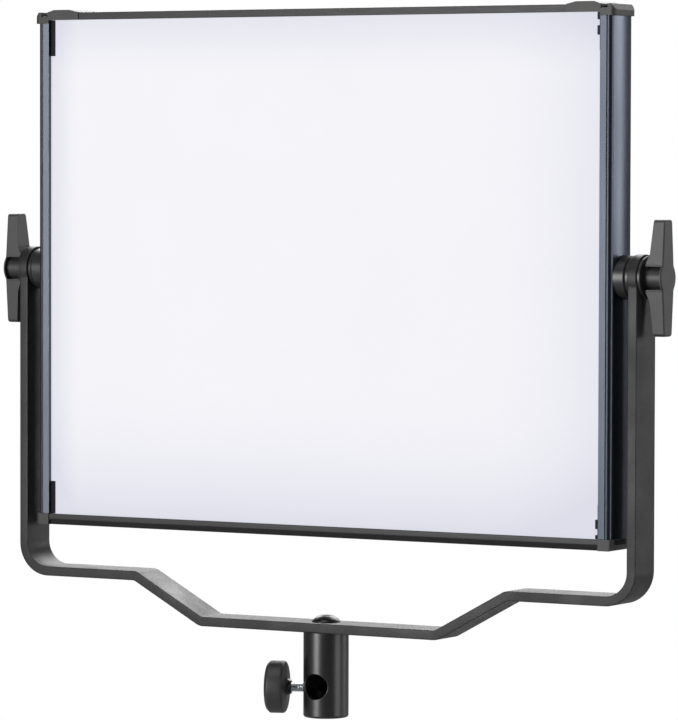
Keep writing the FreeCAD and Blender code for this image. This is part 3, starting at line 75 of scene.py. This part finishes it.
# accessory notch of the upper caps, from the middle of the head
NOTCH_FLOOR = 159.2 * MM
NOTCH_TOP = 161.7 * MM
NOTCH_INNER = 196.4 * MM
NOTCH_OUTER = 200.8 * MM
PATCH_THICK = 0.35 * MM

# studio: softboxes are (name, azimuth, elevation, distance, width, height, watts), and glows are
# (azimuth, elevation, inner half-angle, outer half-angle, strength), with angles in degrees
FLOOR_HEIGHT = -0.30
FLOOR_RADIUS = 30.0
STAGE_CENTRE = 0.25
ROOM_LIGHT = 0.04
ROOM_GLOWS = [(210, 2, 22, 48, 0.28), (138, 3, 5, 13, 8.5)]
SOFTBOXES = [
    ("softbox_left", -19, 4, 2.4, 0.9, 1.1, 46),
    ("softbox_right", 92, 5, 2.4, 1.2, 1.6, 17),
    ("softbox_top", 0, 70, 2.2, 1.6, 1.2, 14),
    ("softbox_back", 204, 40, 2.8, 2.8, 2.4, 125),
    ("softbox_low", 168, -30, 2.6, 1.4, 0.9, 9),
]

# camera
CAMERA_AZIMUTH = 30.43
CAMERA_ELEVATION = 2.38
CAMERA_ROLL = 0.14
CAMERA_DISTANCE = 2.920
CAMERA_TARGET = (0.00874, 0.0, 0.22053)
CAMERA_LENS = 237.6
CAMERA_SENSOR = 36.0
CAMERA_REACH = 100.0


# ---------------------------------------------------------------------------------------------
# Material building blocks
# ---------------------------------------------------------------------------------------------

class Shader:
    """A node material under construction, with short calls for the nodes it needs."""

    def __init__(self, name, world=False):
        made = bpy.data.worlds.new(name) if world else bpy.data.materials.new(name)
        made.use_nodes = True
        self.made = made
        self.tree = made.node_tree
        self.out = self.tree.nodes["Background" if world else "Principled BSDF"]
        self.place = self.add("TexCoord").outputs["Generated" if world else "Object"]
        if world:
            bpy.context.scene.world = made

    def add(self, kind, inputs=None, **settings):
        item = self.tree.nodes.new("ShaderNode" + kind)
        for key, value in settings.items():
            setattr(item, key, value)
        for key, value in (inputs or {}).items():
            self.put(item.inputs[key], value)
        return item

    def put(self, socket, value):
        if isinstance(value, bpy.types.NodeSocket):
            self.tree.links.new(value, socket)
        else:
            socket.default_value = value

    def scaled(self, factors):
        """Object coordinates stretched along X, Y and Z."""
        return self.add("Mapping", {"Vector": self.place, "Scale": factors}).outputs["Vector"]

    def noise(self, grain, stretch=(1, 1, 1), detail=3.0, rough=0.55):
        """Noise with features about one grain wide, in metres."""
        inputs = {"Vector": self.scaled(stretch), "Scale": 1 / grain, "Detail": detail,
                  "Roughness": rough}
        return self.add("TexNoise", inputs).outputs["Fac"]

    def remap(self, value, low, high, start=0.0, end=1.0, smooth=False):
        inputs = {"Value": value, "From Min": low, "From Max": high, "To Min": start, "To Max": end}
        item = self.add("MapRange", inputs)
        if smooth:
            item.interpolation_type = "SMOOTHSTEP"
        return item.outputs["Result"]

    def mix(self, factor, first, second):
        item = self.add("Mix", data_type="RGBA")
        self.put(item.inputs[0], factor)
        self.put(item.inputs[6], first)
        self.put(item.inputs[7], second)
        return item.outputs[2]

    def math(self, operation, first, second=0.0):
        item = self.add("Math", operation=operation)
        self.put(item.inputs[0], first)
        self.put(item.inputs[1], second)
        return item.outputs["Value"]

    def near_edges(self, radius):
        """How close a point is to a sharp edge, 0 to 1, and the normal softened over that edge."""
        soft = self.add("Bevel", {"Radius": radius}, samples=4).outputs["Normal"]
        hard = self.add("NewGeometry").outputs["Normal"]
        dot = self.add("VectorMath", operation="DOT_PRODUCT")
        self.put(dot.inputs[0], soft)
        self.put(dot.inputs[1], hard)
        return self.remap(dot.outputs["Value"], 0.995, 0.8), soft

    def bump(self, height, depth, normal=None):
        inputs = {"Height": height, "Distance": depth, "Strength": 1.0}
        if normal is not None:
            inputs["Normal"] = normal
        return self.add("Bump", inputs).outputs["Normal"]


def grey(level, tint=(1.0, 1.0, 1.0)):
    return tuple(level * part for part in tint) + (1.0,)


def coated(name, dark, light, rough, grain, depth, edge, metallic=0.0,
           stretch=(1, 1, 1), radius=0.4 * MM, specular=0.5):
    """Coated, moulded or machined finish: fine grain, slow blotches and a lighter colour near
    edges, which is wear on most finishes and a painted highlight on the handle plastic.
    """
    shader = Shader(name)
    fine = shader.noise(grain, stretch)
    slow = shader.noise(BLOTCH, detail=2.0)
    edge_near, soft = shader.near_edges(radius)
    mottled = shader.remap(shader.math("ADD", shader.math("MULTIPLY", fine, 0.6),
                                       shader.math("MULTIPLY", slow, 0.4)), 0.32, 0.68)
    colour = shader.mix(mottled, dark, light)
    # near edges the colour turns to the edge colour: wear, and on the handle plastic a painted
    # highlight
    edge_patches = shader.math("MULTIPLY", edge_near, shader.remap(slow, 0.4, 0.62, 0.35, 1.0))
    colour = shader.mix(edge_patches, colour, edge)
    spread = shader.remap(fine, 0.3, 0.7, rough[0], rough[1])
    spread = shader.math("ADD", spread, shader.math("MULTIPLY", edge_patches, RUBBED_SMOOTH))
    shader.put(shader.out.inputs["Base Color"], colour)
    shader.put(shader.out.inputs["Roughness"], spread)
    shader.put(shader.out.inputs["Metallic"], metallic)
    shader.put(shader.out.inputs["Specular IOR Level"], specular)
    shader.put(shader.out.inputs["Normal"], shader.bump(fine, depth, soft))
    return shader.made


def powder_coat():
    """Black sandy powder coat with small lighter grains."""
    shader = Shader("yoke_powder")
    fine = shader.noise(0.7 * MM, detail=4.0, rough=0.7)
    cells = shader.add("TexVoronoi", {"Vector": shader.place, "Scale": 1 / (0.9 * MM)})
    grains = shader.remap(cells.outputs["Distance"], 0.1, 0.55, 1.0, 0.0)
    slow = shader.noise(25 * MM, detail=2.0)
    edge_near, soft = shader.near_edges(0.5 * MM)
    colour = shader.mix(shader.remap(fine, 0.35, 0.68), grey(0.006), grey(0.017))
    colour = shader.mix(shader.math("MULTIPLY", grains, 0.4), colour, grey(0.036))
    colour = shader.mix(shader.math("MULTIPLY", edge_near, 0.6), colour, grey(0.085))
    height = shader.math("ADD", fine, shader.math("MULTIPLY", grains, 0.5))
    shader.put(shader.out.inputs["Base Color"], colour)
    shader.put(shader.out.inputs["Roughness"], shader.remap(slow, 0.3, 0.7, 0.42, 0.55))
    shader.put(shader.out.inputs["Specular IOR Level"], 0.36)
    shader.put(shader.out.inputs["Normal"], shader.bump(height, 0.06 * MM, soft))
    return shader.made


def anodised():
    """Blue-grey anodised aluminium, drawn along Z. The front lands carry painted light and shade:
    lighter on the left, darker on the right.
    """
    shader = Shader("anodised_column")
    drawn = shader.noise(0.25 * MM, (1, 1, 0.01), detail=4.0)
    slow = shader.noise(40 * MM, (1, 1, 0.4), detail=1.0)
    edge_near, soft = shader.near_edges(0.3 * MM)
    colour = shader.mix(shader.remap(drawn, 0.3, 0.7), (0.066, 0.076, 0.098, 1),
                        (0.078, 0.090, 0.114, 1))
    # front-facing faces take a land colour with painted light towards the left and painted shade
    # towards the right
    facing_front = shader.add("SeparateXYZ", {"Vector": shader.add("TexCoord").outputs["Normal"]})
    front = shader.remap(facing_front.outputs["Y"], -0.6, -0.98, 0.0, 1.0)
    across = shader.add("SeparateXYZ", {"Vector": shader.place}).outputs["X"]
    land_light_and_shade = shader.mix(shader.remap(across, -LAND_REACH, LAND_REACH), (0.110, 0.124, 0.149, 1),
                      (0.027, 0.032, 0.041, 1))
    colour = shader.mix(front, colour, land_light_and_shade)
    colour = shader.mix(shader.math("MULTIPLY", edge_near, 0.3), colour, (0.20, 0.22, 0.26, 1))
    spread = shader.math("ADD", shader.remap(drawn, 0.3, 0.7, 0.30, 0.36),
                         shader.remap(slow, 0.3, 0.7, -0.02, 0.03))
    shader.put(shader.out.inputs["Base Color"], colour)
    shader.put(shader.out.inputs["Metallic"], 0.9)
    shader.put(shader.out.inputs["Roughness"], spread)
    shader.put(shader.out.inputs["Normal"], shader.bump(drawn, 0.004 * MM, soft))
    return shader.made


def opal():
    """Opal sheet whose emission is painted light standing in for the studio light on it: near
    white, with painted shade making it a little darker and more lavender towards its edges.
    """
    shader = Shader("diffuser_opal")
    low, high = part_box("diffuser_panel")
    split = shader.add("SeparateXYZ", {"Vector": shader.place})
    # painted shade: the glow darkens and turns lavender towards each edge
    left = shader.remap(split.outputs["X"], low.x + 24 * MM, low.x, 0.0, 0.7, smooth=True)
    right = shader.remap(split.outputs["X"], high.x - 95 * MM, high.x, 0.0, 0.75)
    right = shader.math("MULTIPLY", right, right)
    top = shader.remap(split.outputs["Z"], high.z - 40 * MM, high.z, 0.0, 0.6, smooth=True)
    foot = shader.remap(split.outputs["Z"], low.z + 90 * MM, low.z, 0.0, 1.0)
    foot = shader.math("MULTIPLY", foot, foot)
    painted_edge_shade = shader.math("ADD", shader.math("ADD", left, right), shader.math("ADD", top, foot))
    painted_edge_shade = shader.math("MINIMUM", painted_edge_shade, 1.3)
    texture = shader.noise(1.1 * MM, detail=4.0, rough=0.7)
    slow = shader.noise(60 * MM, detail=2.0)
    # painted light: the emission stands in for the studio light on the white sheet
    glow = shader.mix(painted_edge_shade, (0.905, 0.90, 0.945, 1), (0.70, 0.705, 0.80, 1))
    glow = shader.mix(shader.remap(texture, 0.35, 0.65, 0.0, 0.05), glow, (0.7, 0.7, 0.76, 1))
    base = shader.mix(shader.remap(slow, 0.3, 0.7), (0.100, 0.100, 0.108, 1),
                      (0.110, 0.110, 0.118, 1))
    shader.put(shader.out.inputs["Base Color"], base)
    shader.put(shader.out.inputs["Specular IOR Level"], 0.2)
    shader.put(shader.out.inputs["Roughness"], shader.remap(texture, 0.3, 0.7, 0.5, 0.65))
    shader.put(shader.out.inputs["Emission Color"], glow)
    shader.put(shader.out.inputs["Emission Strength"], OPAL_PAINTED_LIGHT)
    shader.put(shader.out.inputs["Normal"], shader.bump(texture, 0.03 * MM))
    return shader.made


def circuit_board():
    """Green solder mask with fine copper tracks showing through."""
    shader = Shader("board_green")
    bands = shader.add("TexBrick", {"Vector": shader.scaled((1, 1, 1)), "Scale": 1 / (9 * MM),
                                    "Mortar Size": 0.03, "Color1": (0.010, 0.075, 0.030, 1),
                                    "Color2": (0.014, 0.090, 0.036, 1),
                                    "Mortar": (0.05, 0.20, 0.08, 1)})
    fine = shader.noise(0.5 * MM)
    shader.put(shader.out.inputs["Base Color"], bands.outputs["Color"])
    shader.put(shader.out.inputs["Roughness"], shader.remap(fine, 0.3, 0.7, 0.25, 0.4))
    shader.put(shader.out.inputs["Normal"], shader.bump(bands.outputs["Fac"], 0.02 * MM))
    return shader.made


def smoked_window():
    """Dark glossy display window with a faint haze of fine scratches."""
    shader = Shader("window_smoke")
    scratches = shader.noise(0.4 * MM, (0.05, 1, 1), detail=5.0)
    slow = shader.noise(20 * MM)
    colour = shader.mix(slow, grey(0.008), grey(0.016, (0.9, 1, 1.2)))
    shader.put(shader.out.inputs["Base Color"], colour)
    shader.put(shader.out.inputs["Roughness"], shader.remap(scratches, 0.35, 0.7, 0.05, 0.16))
    shader.put(shader.out.inputs["Coat Weight"], 0.6)
    shader.put(shader.out.inputs["Normal"], shader.bump(scratches, 0.001 * MM))
    return shader.made


def make_materials():
    warm, cold = (1.05, 1, 0.95), (0.9, 0.9, 1.5)
    # pale tan tint of the grey components; on the notch sheets it is part of their painted light
    pale_tan = (1.05, 1, 0.93)
    return {
        "yoke_powder": powder_coat(),
        "anodised_column": anodised(),
        "diffuser_opal": opal(),
        "rail_black": coated("rail_black", grey(0.008), grey(0.016), (0.40, 0.50), 0.35 * MM,
                             0.010 * MM, grey(0.10), stretch=(0.02, 1, 1), specular=0.34),
        "cap_plastic": coated("cap_plastic", grey(0.014, warm), grey(0.030, warm),
                              (0.45, 0.6), 0.5 * MM, 0.035 * MM, grey(0.11)),
        "clip_black": coated("clip_black", grey(0.006, cold), grey(0.014, cold),
                             (0.3, 0.45), 0.4 * MM, 0.01 * MM, grey(0.05), specular=0.06),
        "reflector_white": coated("reflector_white", grey(0.78), grey(0.86), (0.5, 0.6), 0.5 * MM,
                                  0.01 * MM, grey(0.7)),
        "board_white": coated("board_white", grey(0.70), grey(0.80), (0.3, 0.45), 0.6 * MM,
                              0.01 * MM, grey(0.5)),
        "emitter_yellow": coated("emitter_yellow", (0.75, 0.52, 0.06, 1), (0.85, 0.63, 0.10, 1),
                                 (0.3, 0.5), 0.3 * MM, 0.01 * MM, (0.8, 0.75, 0.6, 1)),
        "sink_aluminium": coated("sink_aluminium", grey(0.55), grey(0.68), (0.28, 0.42), 0.3 * MM,
                                 0.006 * MM, grey(0.85), metallic=1.0, stretch=(1, 1, 0.02)),
        "cover_black": coated("cover_black", grey(0.026), grey(0.044), (0.42, 0.55), 0.6 * MM,
                              0.045 * MM, grey(0.12)),
        "housing_black": coated("housing_black", grey(0.026), grey(0.042), (0.45, 0.58), 0.55 * MM,
                                0.04 * MM, grey(0.10)),
        "window_smoke": smoked_window(),
        "board_green": circuit_board(),
        "component_grey": coated("component_grey", grey(0.10, pale_tan), grey(0.16, pale_tan),
                                 (0.35, 0.55), 0.6 * MM, 0.02 * MM, grey(0.25)),
        "dial_black": coated("dial_black", grey(0.022), grey(0.036), (0.38, 0.5), 0.4 * MM,
                             0.02 * MM, grey(0.12)),
        "shaft_steel": coated("shaft_steel", grey(0.55), grey(0.66), (0.22, 0.36), 0.2 * MM,
                              0.003 * MM, grey(0.85), metallic=1.0, stretch=(1, 0.03, 1)),
        "button_rubber": coated("button_rubber", grey(0.030), grey(0.048), (0.6, 0.75), 0.35 * MM,
                                0.02 * MM, grey(0.09)),
        "rocker_plastic": coated("rocker_plastic", grey(0.018), grey(0.028), (0.22, 0.34), 0.7 * MM,
                                 0.006 * MM, grey(0.09)),
        "port_steel": coated("port_steel", grey(0.50), grey(0.62), (0.2, 0.34), 0.3 * MM,
                             0.003 * MM, grey(0.8), metallic=1.0),
        "contact_brass": coated("contact_brass", (0.72, 0.50, 0.20, 1), (0.83, 0.60, 0.27, 1),
                                (0.2, 0.36), 0.3 * MM, 0.004 * MM, (0.9, 0.72, 0.4, 1),
                                metallic=1.0),
        "latch_plastic": coated("latch_plastic", grey(0.045), grey(0.07), (0.4, 0.5), 0.45 * MM,
                                0.02 * MM, grey(0.15)),
        "cable_black": coated("cable_black", grey(0.015), grey(0.028), (0.4, 0.5), 0.5 * MM,
                              0.01 * MM, grey(0.05)),
        "screw_black": coated("screw_black", grey(0.008), grey(0.016), (0.22, 0.34), 0.5 * MM,
                              0.004 * MM, grey(0.14), metallic=0.2, specular=0.4),
        "boss_black": coated("boss_black", grey(0.016), grey(0.026), (0.30, 0.42), 0.3 * MM,
                             0.006 * MM, grey(0.12), metallic=0.1, stretch=(0.2, 1, 1)),
        "nut_steel": coated("nut_steel", (0.58, 0.61, 0.64, 1), (0.74, 0.77, 0.80, 1), (0.16, 0.3),
                            0.25 * MM, 0.004 * MM, grey(0.95), metallic=1.0),
        "washer_black": coated("washer_black", grey(0.014), grey(0.026), (0.3, 0.42), 0.3 * MM,
                               0.008 * MM, grey(0.13), metallic=0.2),
        # its light edge colour is a painted highlight along the handle's edges
        "handle_plastic": coated("handle_plastic", grey(0.018), grey(0.032), (0.42, 0.54),
                                 0.45 * MM, 0.03 * MM, grey(0.26), radius=0.7 * MM),
        "receiver_black": coated("receiver_black", grey(0.006), grey(0.012), (0.28, 0.36), 0.3 * MM,
                                 0.006 * MM, grey(0.10), metallic=0.1, stretch=(1, 1, 0.15),
                                 specular=0.8),
    }


# ---------------------------------------------------------------------------------------------
# Mesh building blocks
# ---------------------------------------------------------------------------------------------

def add_piece(name, bm, slot, body, replaced=(), sharp=SMOOTH_BELOW):
    """Turns a bmesh into a shaded piece that rides on a body."""
    bmesh.ops.remove_doubles(bm, verts=bm.verts, dist=1e-7)
    bmesh.ops.recalc_face_normals(bm, faces=bm.faces)
    mesh = bpy.data.meshes.new(name)
    bm.to_mesh(mesh)
    bm.free()
    mesh.polygons.foreach_set("use_smooth", [True] * len(mesh.polygons))
    mesh.set_sharp_from_angle(angle=sharp)
    mesh.materials.append(MATERIALS[slot])
    piece = bpy.data.objects.new(name, mesh)
    bpy.context.scene.collection.objects.link(piece)
    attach(piece, body)
    if replaced:
        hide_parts(*replaced)
    return piece


def facing(axis, origin=(0, 0, 0)):
    """Matrix that takes local +Z to the axis, through the origin given."""
    turn = Vector((0, 0, 1)).rotation_difference(Vector(axis).normalized())
    return Matrix.Translation(Vector(origin)) @ turn.to_matrix().to_4x4()


def lathe(bm, profile, place, segments=96, wave=None):
    """Turned form. The profile is a list of (along, radius), from one end to the other. A ring of
    zero radius closes an end. A wave takes (turn, along, radius) and returns the radius there."""
    rings = []
    for along, radius in profile:
        if radius <= 0:
            rings.append([bm.verts.new(place @ Vector((0, 0, along)))])
            continue
        ring = []
        for step in range(segments):
            turn = 2 * math.pi * step / segments
            reach = wave(turn, along, radius) if wave else radius
            point = Vector((reach * math.cos(turn), reach * math.sin(turn), along))
            ring.append(bm.verts.new(place @ point))
        rings.append(ring)
    for near, far in zip(rings, rings[1:]):
        for step in range(segments):
            after = (step + 1) % segments
            if len(near) == 1 and len(far) == 1:
                continue
            if len(near) == 1:
                bm.faces.new((near[0], far[after], far[step]))
            elif len(far) == 1:
                bm.faces.new((near[step], near[after], far[0]))
            else:
                bm.faces.new((near[step], near[after], far[after], far[step]))
    return rings


def slab(bm, low, high, edge):
    """Block between two corners with its edges rounded."""
    fresh = bmesh.ops.create_cube(bm, size=1.0)["verts"]
    for vertex in fresh:
        vertex.co = Vector((low + high)[i] / 2 + vertex.co[i] * (high - low)[i] for i in range(3))
    edges = list({item for vertex in fresh for item in vertex.link_edges})
    bmesh.ops.bevel(bm, geom=edges, offset=edge, segments=2, affect="EDGES")


def rounded(corners, radii, steps=5):
    """Profile with its corners rounded. Corners are (along, radius), each with its own radius."""
    points = []
    for index, (corner, radius) in enumerate(zip(corners, radii)):
        here = Vector(corner)
        if radius <= 0 or index in (0, len(corners) - 1):
            points.append(tuple(here))
            continue
        before = (Vector(corners[index - 1]) - here).normalized()
        after = (Vector(corners[index + 1]) - here).normalized()
        half = before.angle(after) / 2
        reach = radius / math.tan(half)
        centre = here + (before + after).normalized() * radius / math.sin(half)
        first = here + before * reach - centre
        last = here + after * reach - centre
        sweep = math.atan2(first.x * last.y - first.y * last.x, first.dot(last))
        for step in range(steps + 1):
            angle = sweep * step / steps
            turn = Matrix(((math.cos(angle), -math.sin(angle)), (math.sin(angle), math.cos(angle))))
            points.append(tuple(centre + turn @ first))
    return points


def soften(node, width, segments=2):
    """Weld a CAD node's faces together and round its edges with modifiers."""
    piece = NODES[node]
    weld = piece.modifiers.new("weld", "WELD")
    weld.merge_threshold = 1e-6
    bevel = piece.modifiers.new("bevel", "BEVEL")
    bevel.width = width
    bevel.segments = segments
    bevel.limit_method = "ANGLE"
    bevel.angle_limit = SMOOTH_BELOW
    bevel.harden_normals = False
    normals = piece.modifiers.new("normals", "WEIGHTED_NORMAL")
    normals.keep_sharp = False
    normals.weight = 80


# ---------------------------------------------------------------------------------------------
# Pieces
# ---------------------------------------------------------------------------------------------

def lock_axis():
    joint = JOINTS["lock_knob_turn"]
    axis = Vector(joint["axis"])
    height = joint["pos_m"][2]
    return axis, Vector((0, 0, height))


def make_lock_knob():
    """Round knob with a hollow face, a softly rounded rim and a cone-shaped neck."""
    axis, centre = lock_axis()
    corners = [(24.0, 3.05), (24.0, 5.3), (24.7, 7.2), (25.3, 13.6), (25.0, 16.2), (34.5, 16.2),
               (36.5, 14.2), (36.5, 12.6), (35.9, 11.9), (35.9, 0)]
    radii = [0, 0.3, 0.6, 1.2, 1.6, 1.0, 0.8, 0.4, 0.3, 0]
    corners = [(along * MM, radius * MM) for along, radius in corners]
    profile = rounded(corners, [radius * MM for radius in radii])
    inner = [(33.0 * MM, 0), (33.0 * MM, 3.05 * MM)]
    bm = bmesh.new()
    lathe(bm, inner + profile, facing(axis, centre), segments=128)
    add_piece("lock_knob_turned", bm, "handle_plastic", "lock_knob", ["lock_knob"])
    neck = [(24.0, 3.05), (21.6, 3.05), (21.6, 3.9), (22.0, 4.3), (23.3, 5.1), (24.0, 5.25)]
    radii = [0, 0, 0.2, 0.3, 0.5, 0]
    neck = [(along * MM, radius * MM) for along, radius in neck]
    neck = rounded(neck, [radius * MM for radius in radii])
    bm = bmesh.new()
    lathe(bm, neck + neck[:1], facing(axis, centre), segments=64)
    add_piece("lock_knob_collar", bm, "screw_black", "lock_knob")


def make_lock_screw():
    """M6 screw with a real helical thread."""
    axis, centre = lock_axis()
    start, end = THREAD_ENDS
    rows = 8 * round((end - start) / THREAD_PITCH)

    def thread(turn, along, radius):
        phase = (along / THREAD_PITCH - turn / (2 * math.pi)) % 1.0
        ramp = min(1.0, (along - start) / THREAD_PITCH, (end - along) / THREAD_PITCH)
        return radius - THREAD_DEPTH * ramp * abs(2 * phase - 1)

    steps = [start + (end - start) * row / rows for row in range(rows + 1)]
    profile = [(start, 0)] + [(along, THREAD_RADIUS) for along in steps] + [(end, 0)]
    bm = bmesh.new()
    lathe(bm, profile, facing(axis, centre), segments=40, wave=thread)
    add_piece("lock_screw_threaded", bm, "nut_steel", "lock_knob", ["lock_screw"],
              sharp=math.radians(70))


def make_dials():
    """Knurled dials with a dished face and an index line."""
    for name, body in (("brightness", "brightness_dial"), ("colour", "colour_dial")):
        low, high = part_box(name + "_dial")
        middle = (low + high) / 2
        radius = (high.x - low.x) / 2
        length = high.y - low.y

        def knurl(turn, along, reach):
            if reach < radius * 0.93 or along < 1.6 * MM:
                return reach
            return reach - KNURL_DEPTH * abs(math.sin(turn * KNURL_RIDGES / 2)) ** 0.7

        corners = [(0, 3.05), (0, 12.0), (1.5, 12.0), (1.6, 11.7), (1.9, 12.0), (10.6, 12.0),
                   (12.0, 10.7), (12.0, 9.6), (11.3, 8.4), (11.1, 0)]
        radii = [0, 0.3, 0, 0, 0, 0.8, 0.5, 0.5, 1.5, 0]
        scaled = [(along * length / 12, reach * radius / 12) for along, reach in corners]
        profile = [(6.8 * MM, 0), (6.8 * MM, 3.05 * MM)]
        profile += rounded(scaled, [value * MM for value in radii], steps=4)
        bm = bmesh.new()
        place = facing((0, 1, 0), (middle.x, low.y, middle.z))
        lathe(bm, profile, place, segments=KNURL_RIDGES * 6, wave=knurl)
        add_piece(name + "_dial_knurled", bm, "dial_black", body, [name + "_dial"])
        bm = bmesh.new()
        foot = Vector((middle.x - 0.35 * MM, high.y - 1.1 * MM, middle.z + 0.7 * MM))
        slab(bm, foot, foot + Vector((0.7 * MM, 0.25 * MM, 7.0 * MM)), 0.1 * MM)
        add_piece(name + "_dial_index", bm, "reflector_white", body)


def make_notch_light_patches():
    """Thin pale grey sheets on the walls and floor of the accessory notch of each upper cap:
    painted light, standing in for the lit notch wall.
    """
    middle = JOINTS["tilt"]["pos_m"][2]
    floor, top = middle + NOTCH_FLOOR, middle + NOTCH_TOP
    inner, outer, thick = NOTCH_INNER, NOTCH_OUTER, PATCH_THICK
    for name, side in (("left", -1), ("right", 1)):
        low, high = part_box("corner_cap_top_" + name)
        front, back = low.y + 0.9 * MM, high.y - 0.9 * MM
        walls = [(inner, inner + thick, floor, top), (outer - thick, outer, floor, top - 0.5 * MM),
                 (inner + thick, outer - thick, floor, floor + thick)]
        bm = bmesh.new()
        for near, far, foot, head in walls:
            first, last = sorted((side * near, side * far))
            slab(bm, Vector((first, front, foot)), Vector((last, back, head)), 0.08 * MM)
        add_piece("cap_notch_painted_light_" + name, bm, "component_grey", "head")


def dress_cad_nodes():
    """Give every CAD node its slot's material, and round the edges of those that show."""
    slots = {}
    for piece in NODES.values():
        name = piece.data.materials[0].name
        slots[piece.name] = name.split(".")[0]
    for name, piece in NODES.items():
        piece.data.materials[0] = MATERIALS[slots[name]]
    for name, width in SOFT_EDGES.items():
        soften(name, width)


SOFT_EDGES = {
    "yoke_bracket": 0.5 * MM, "top_rail": 0.3 * MM, "bottom_rail": 0.3 * MM,
    "corner_cap_top_left": 0.4 * MM, "corner_cap_top_right": 0.4 * MM,
    "corner_cap_bottom_left": 0.4 * MM, "corner_cap_bottom_right": 0.4 * MM,
    "diffuser_clips": 0.25 * MM, "release_latch": 0.8 * MM, "battery_terminal": 0.8 * MM,
    "rocker_bezel": 0.5 * MM, "power_rocker": 0.5 * MM, "battery_contacts": 0.25 * MM,
}


# ---------------------------------------------------------------------------------------------
# Studio
# ---------------------------------------------------------------------------------------------

def make_floor():
    """Pale floor, well below the stand socket, that reads as plain white paper."""
    shader = Shader("floor_paper")
    fibres = shader.noise(4 * MM, detail=4.0)
    paper = shader.mix(fibres, grey(0.30), grey(0.34))
    shader.put(shader.out.inputs["Base Color"], paper)
    shader.put(shader.out.inputs["Roughness"], 0.8)
    glow = shader.add("Emission", {"Color": grey(1.0), "Strength": 1.0})
    seen = shader.add("LightPath").outputs["Is Camera Ray"]
    blend = shader.add("MixShader")
    shader.put(blend.inputs[0], seen)
    shader.put(blend.inputs[1], shader.out.outputs["BSDF"])
    shader.put(blend.inputs[2], glow.outputs["Emission"])
    output = shader.tree.nodes["Material Output"]
    shader.put(output.inputs["Surface"], blend.outputs["Shader"])
    bm = bmesh.new()
    bmesh.ops.create_circle(bm, cap_ends=True, segments=64, radius=FLOOR_RADIUS,
                            matrix=Matrix.Translation((0, 0, FLOOR_HEIGHT)))
    mesh = bpy.data.meshes.new("floor")
    bm.to_mesh(mesh)
    bm.free()
    mesh.materials.append(shader.made)
    floor = bpy.data.objects.new("floor", mesh)
    bpy.context.scene.collection.objects.link(floor)


def make_world():
    """White to the camera. To the object: a dim room with soft bright patches around it."""
    shader = Shader("room", world=True)
    light = shader.add("RGB").outputs["Color"]
    light.default_value = grey(ROOM_LIGHT)
    for azimuth, elevation, inner, outer, level in ROOM_GLOWS:
        direction = shader.add("VectorMath", operation="DOT_PRODUCT")
        shader.put(direction.inputs[0], shader.place)
        shader.put(direction.inputs[1], around(azimuth, elevation, 1.0, Vector()))
        share = shader.remap(direction.outputs["Value"], math.cos(math.radians(outer)),
                             math.cos(math.radians(inner)), 0.0, 1.0, smooth=True)
        light = shader.mix(share, light, grey(level))
    seen = shader.add("LightPath").outputs["Is Camera Ray"]
    shader.put(shader.out.inputs["Color"], shader.mix(seen, light, grey(1.0)))


def around(azimuth, elevation, distance, centre):
    """Point at a compass direction from the centre: 0 is in front of the light, 90 to its right."""
    a, e = math.radians(azimuth), math.radians(elevation)
    level = math.cos(e)
    return centre + distance * Vector((math.sin(a) * level, -math.cos(a) * level, math.sin(e)))


def make_softbox(name, azimuth, elevation, distance, wide, tall, power):
    centre = Vector((0, 0, STAGE_CENTRE))
    light = bpy.data.lights.new(name, "AREA")
    light.shape = "RECTANGLE"
    light.size = wide
    light.size_y = tall
    light.energy = power
    item = bpy.data.objects.new(name, light)
    item.location = around(azimuth, elevation, distance, centre)
    item.rotation_mode = "QUATERNION"
    item.rotation_quaternion = (centre - item.location).to_track_quat("-Z", "Y")
    item.visible_camera = False
    bpy.context.scene.collection.objects.link(item)


def make_camera():
    """Long lens from the front right and slightly above."""
    back = around(CAMERA_AZIMUTH, CAMERA_ELEVATION, 1.0, Vector())
    right = Vector((0, 0, 1)).cross(back).normalized()
    up = back.cross(right)
    roll = math.radians(CAMERA_ROLL)
    tilted_right = right * math.cos(roll) + up * math.sin(roll)
    tilted_up = up * math.cos(roll) - right * math.sin(roll)
    camera = bpy.data.cameras.new("camera")
    camera.lens = CAMERA_LENS
    camera.sensor_width = CAMERA_SENSOR
    camera.clip_end = CAMERA_REACH
    item = bpy.data.objects.new("camera", camera)
    place = Matrix((tilted_right, tilted_up, back)).transposed().to_4x4()
    place.translation = Vector(CAMERA_TARGET) + back * CAMERA_DISTANCE
    item.matrix_world = place
    bpy.context.scene.collection.objects.link(item)
    bpy.context.scene.camera = item


MATERIALS = make_materials()
dress_cad_nodes()
make_lock_knob()
make_lock_screw()
make_dials()
make_notch_light_patches()
make_floor()
make_world()
for box in SOFTBOXES:
    make_softbox(*box)
make_camera()
bpy.context.scene.view_settings.view_transform = "Standard"
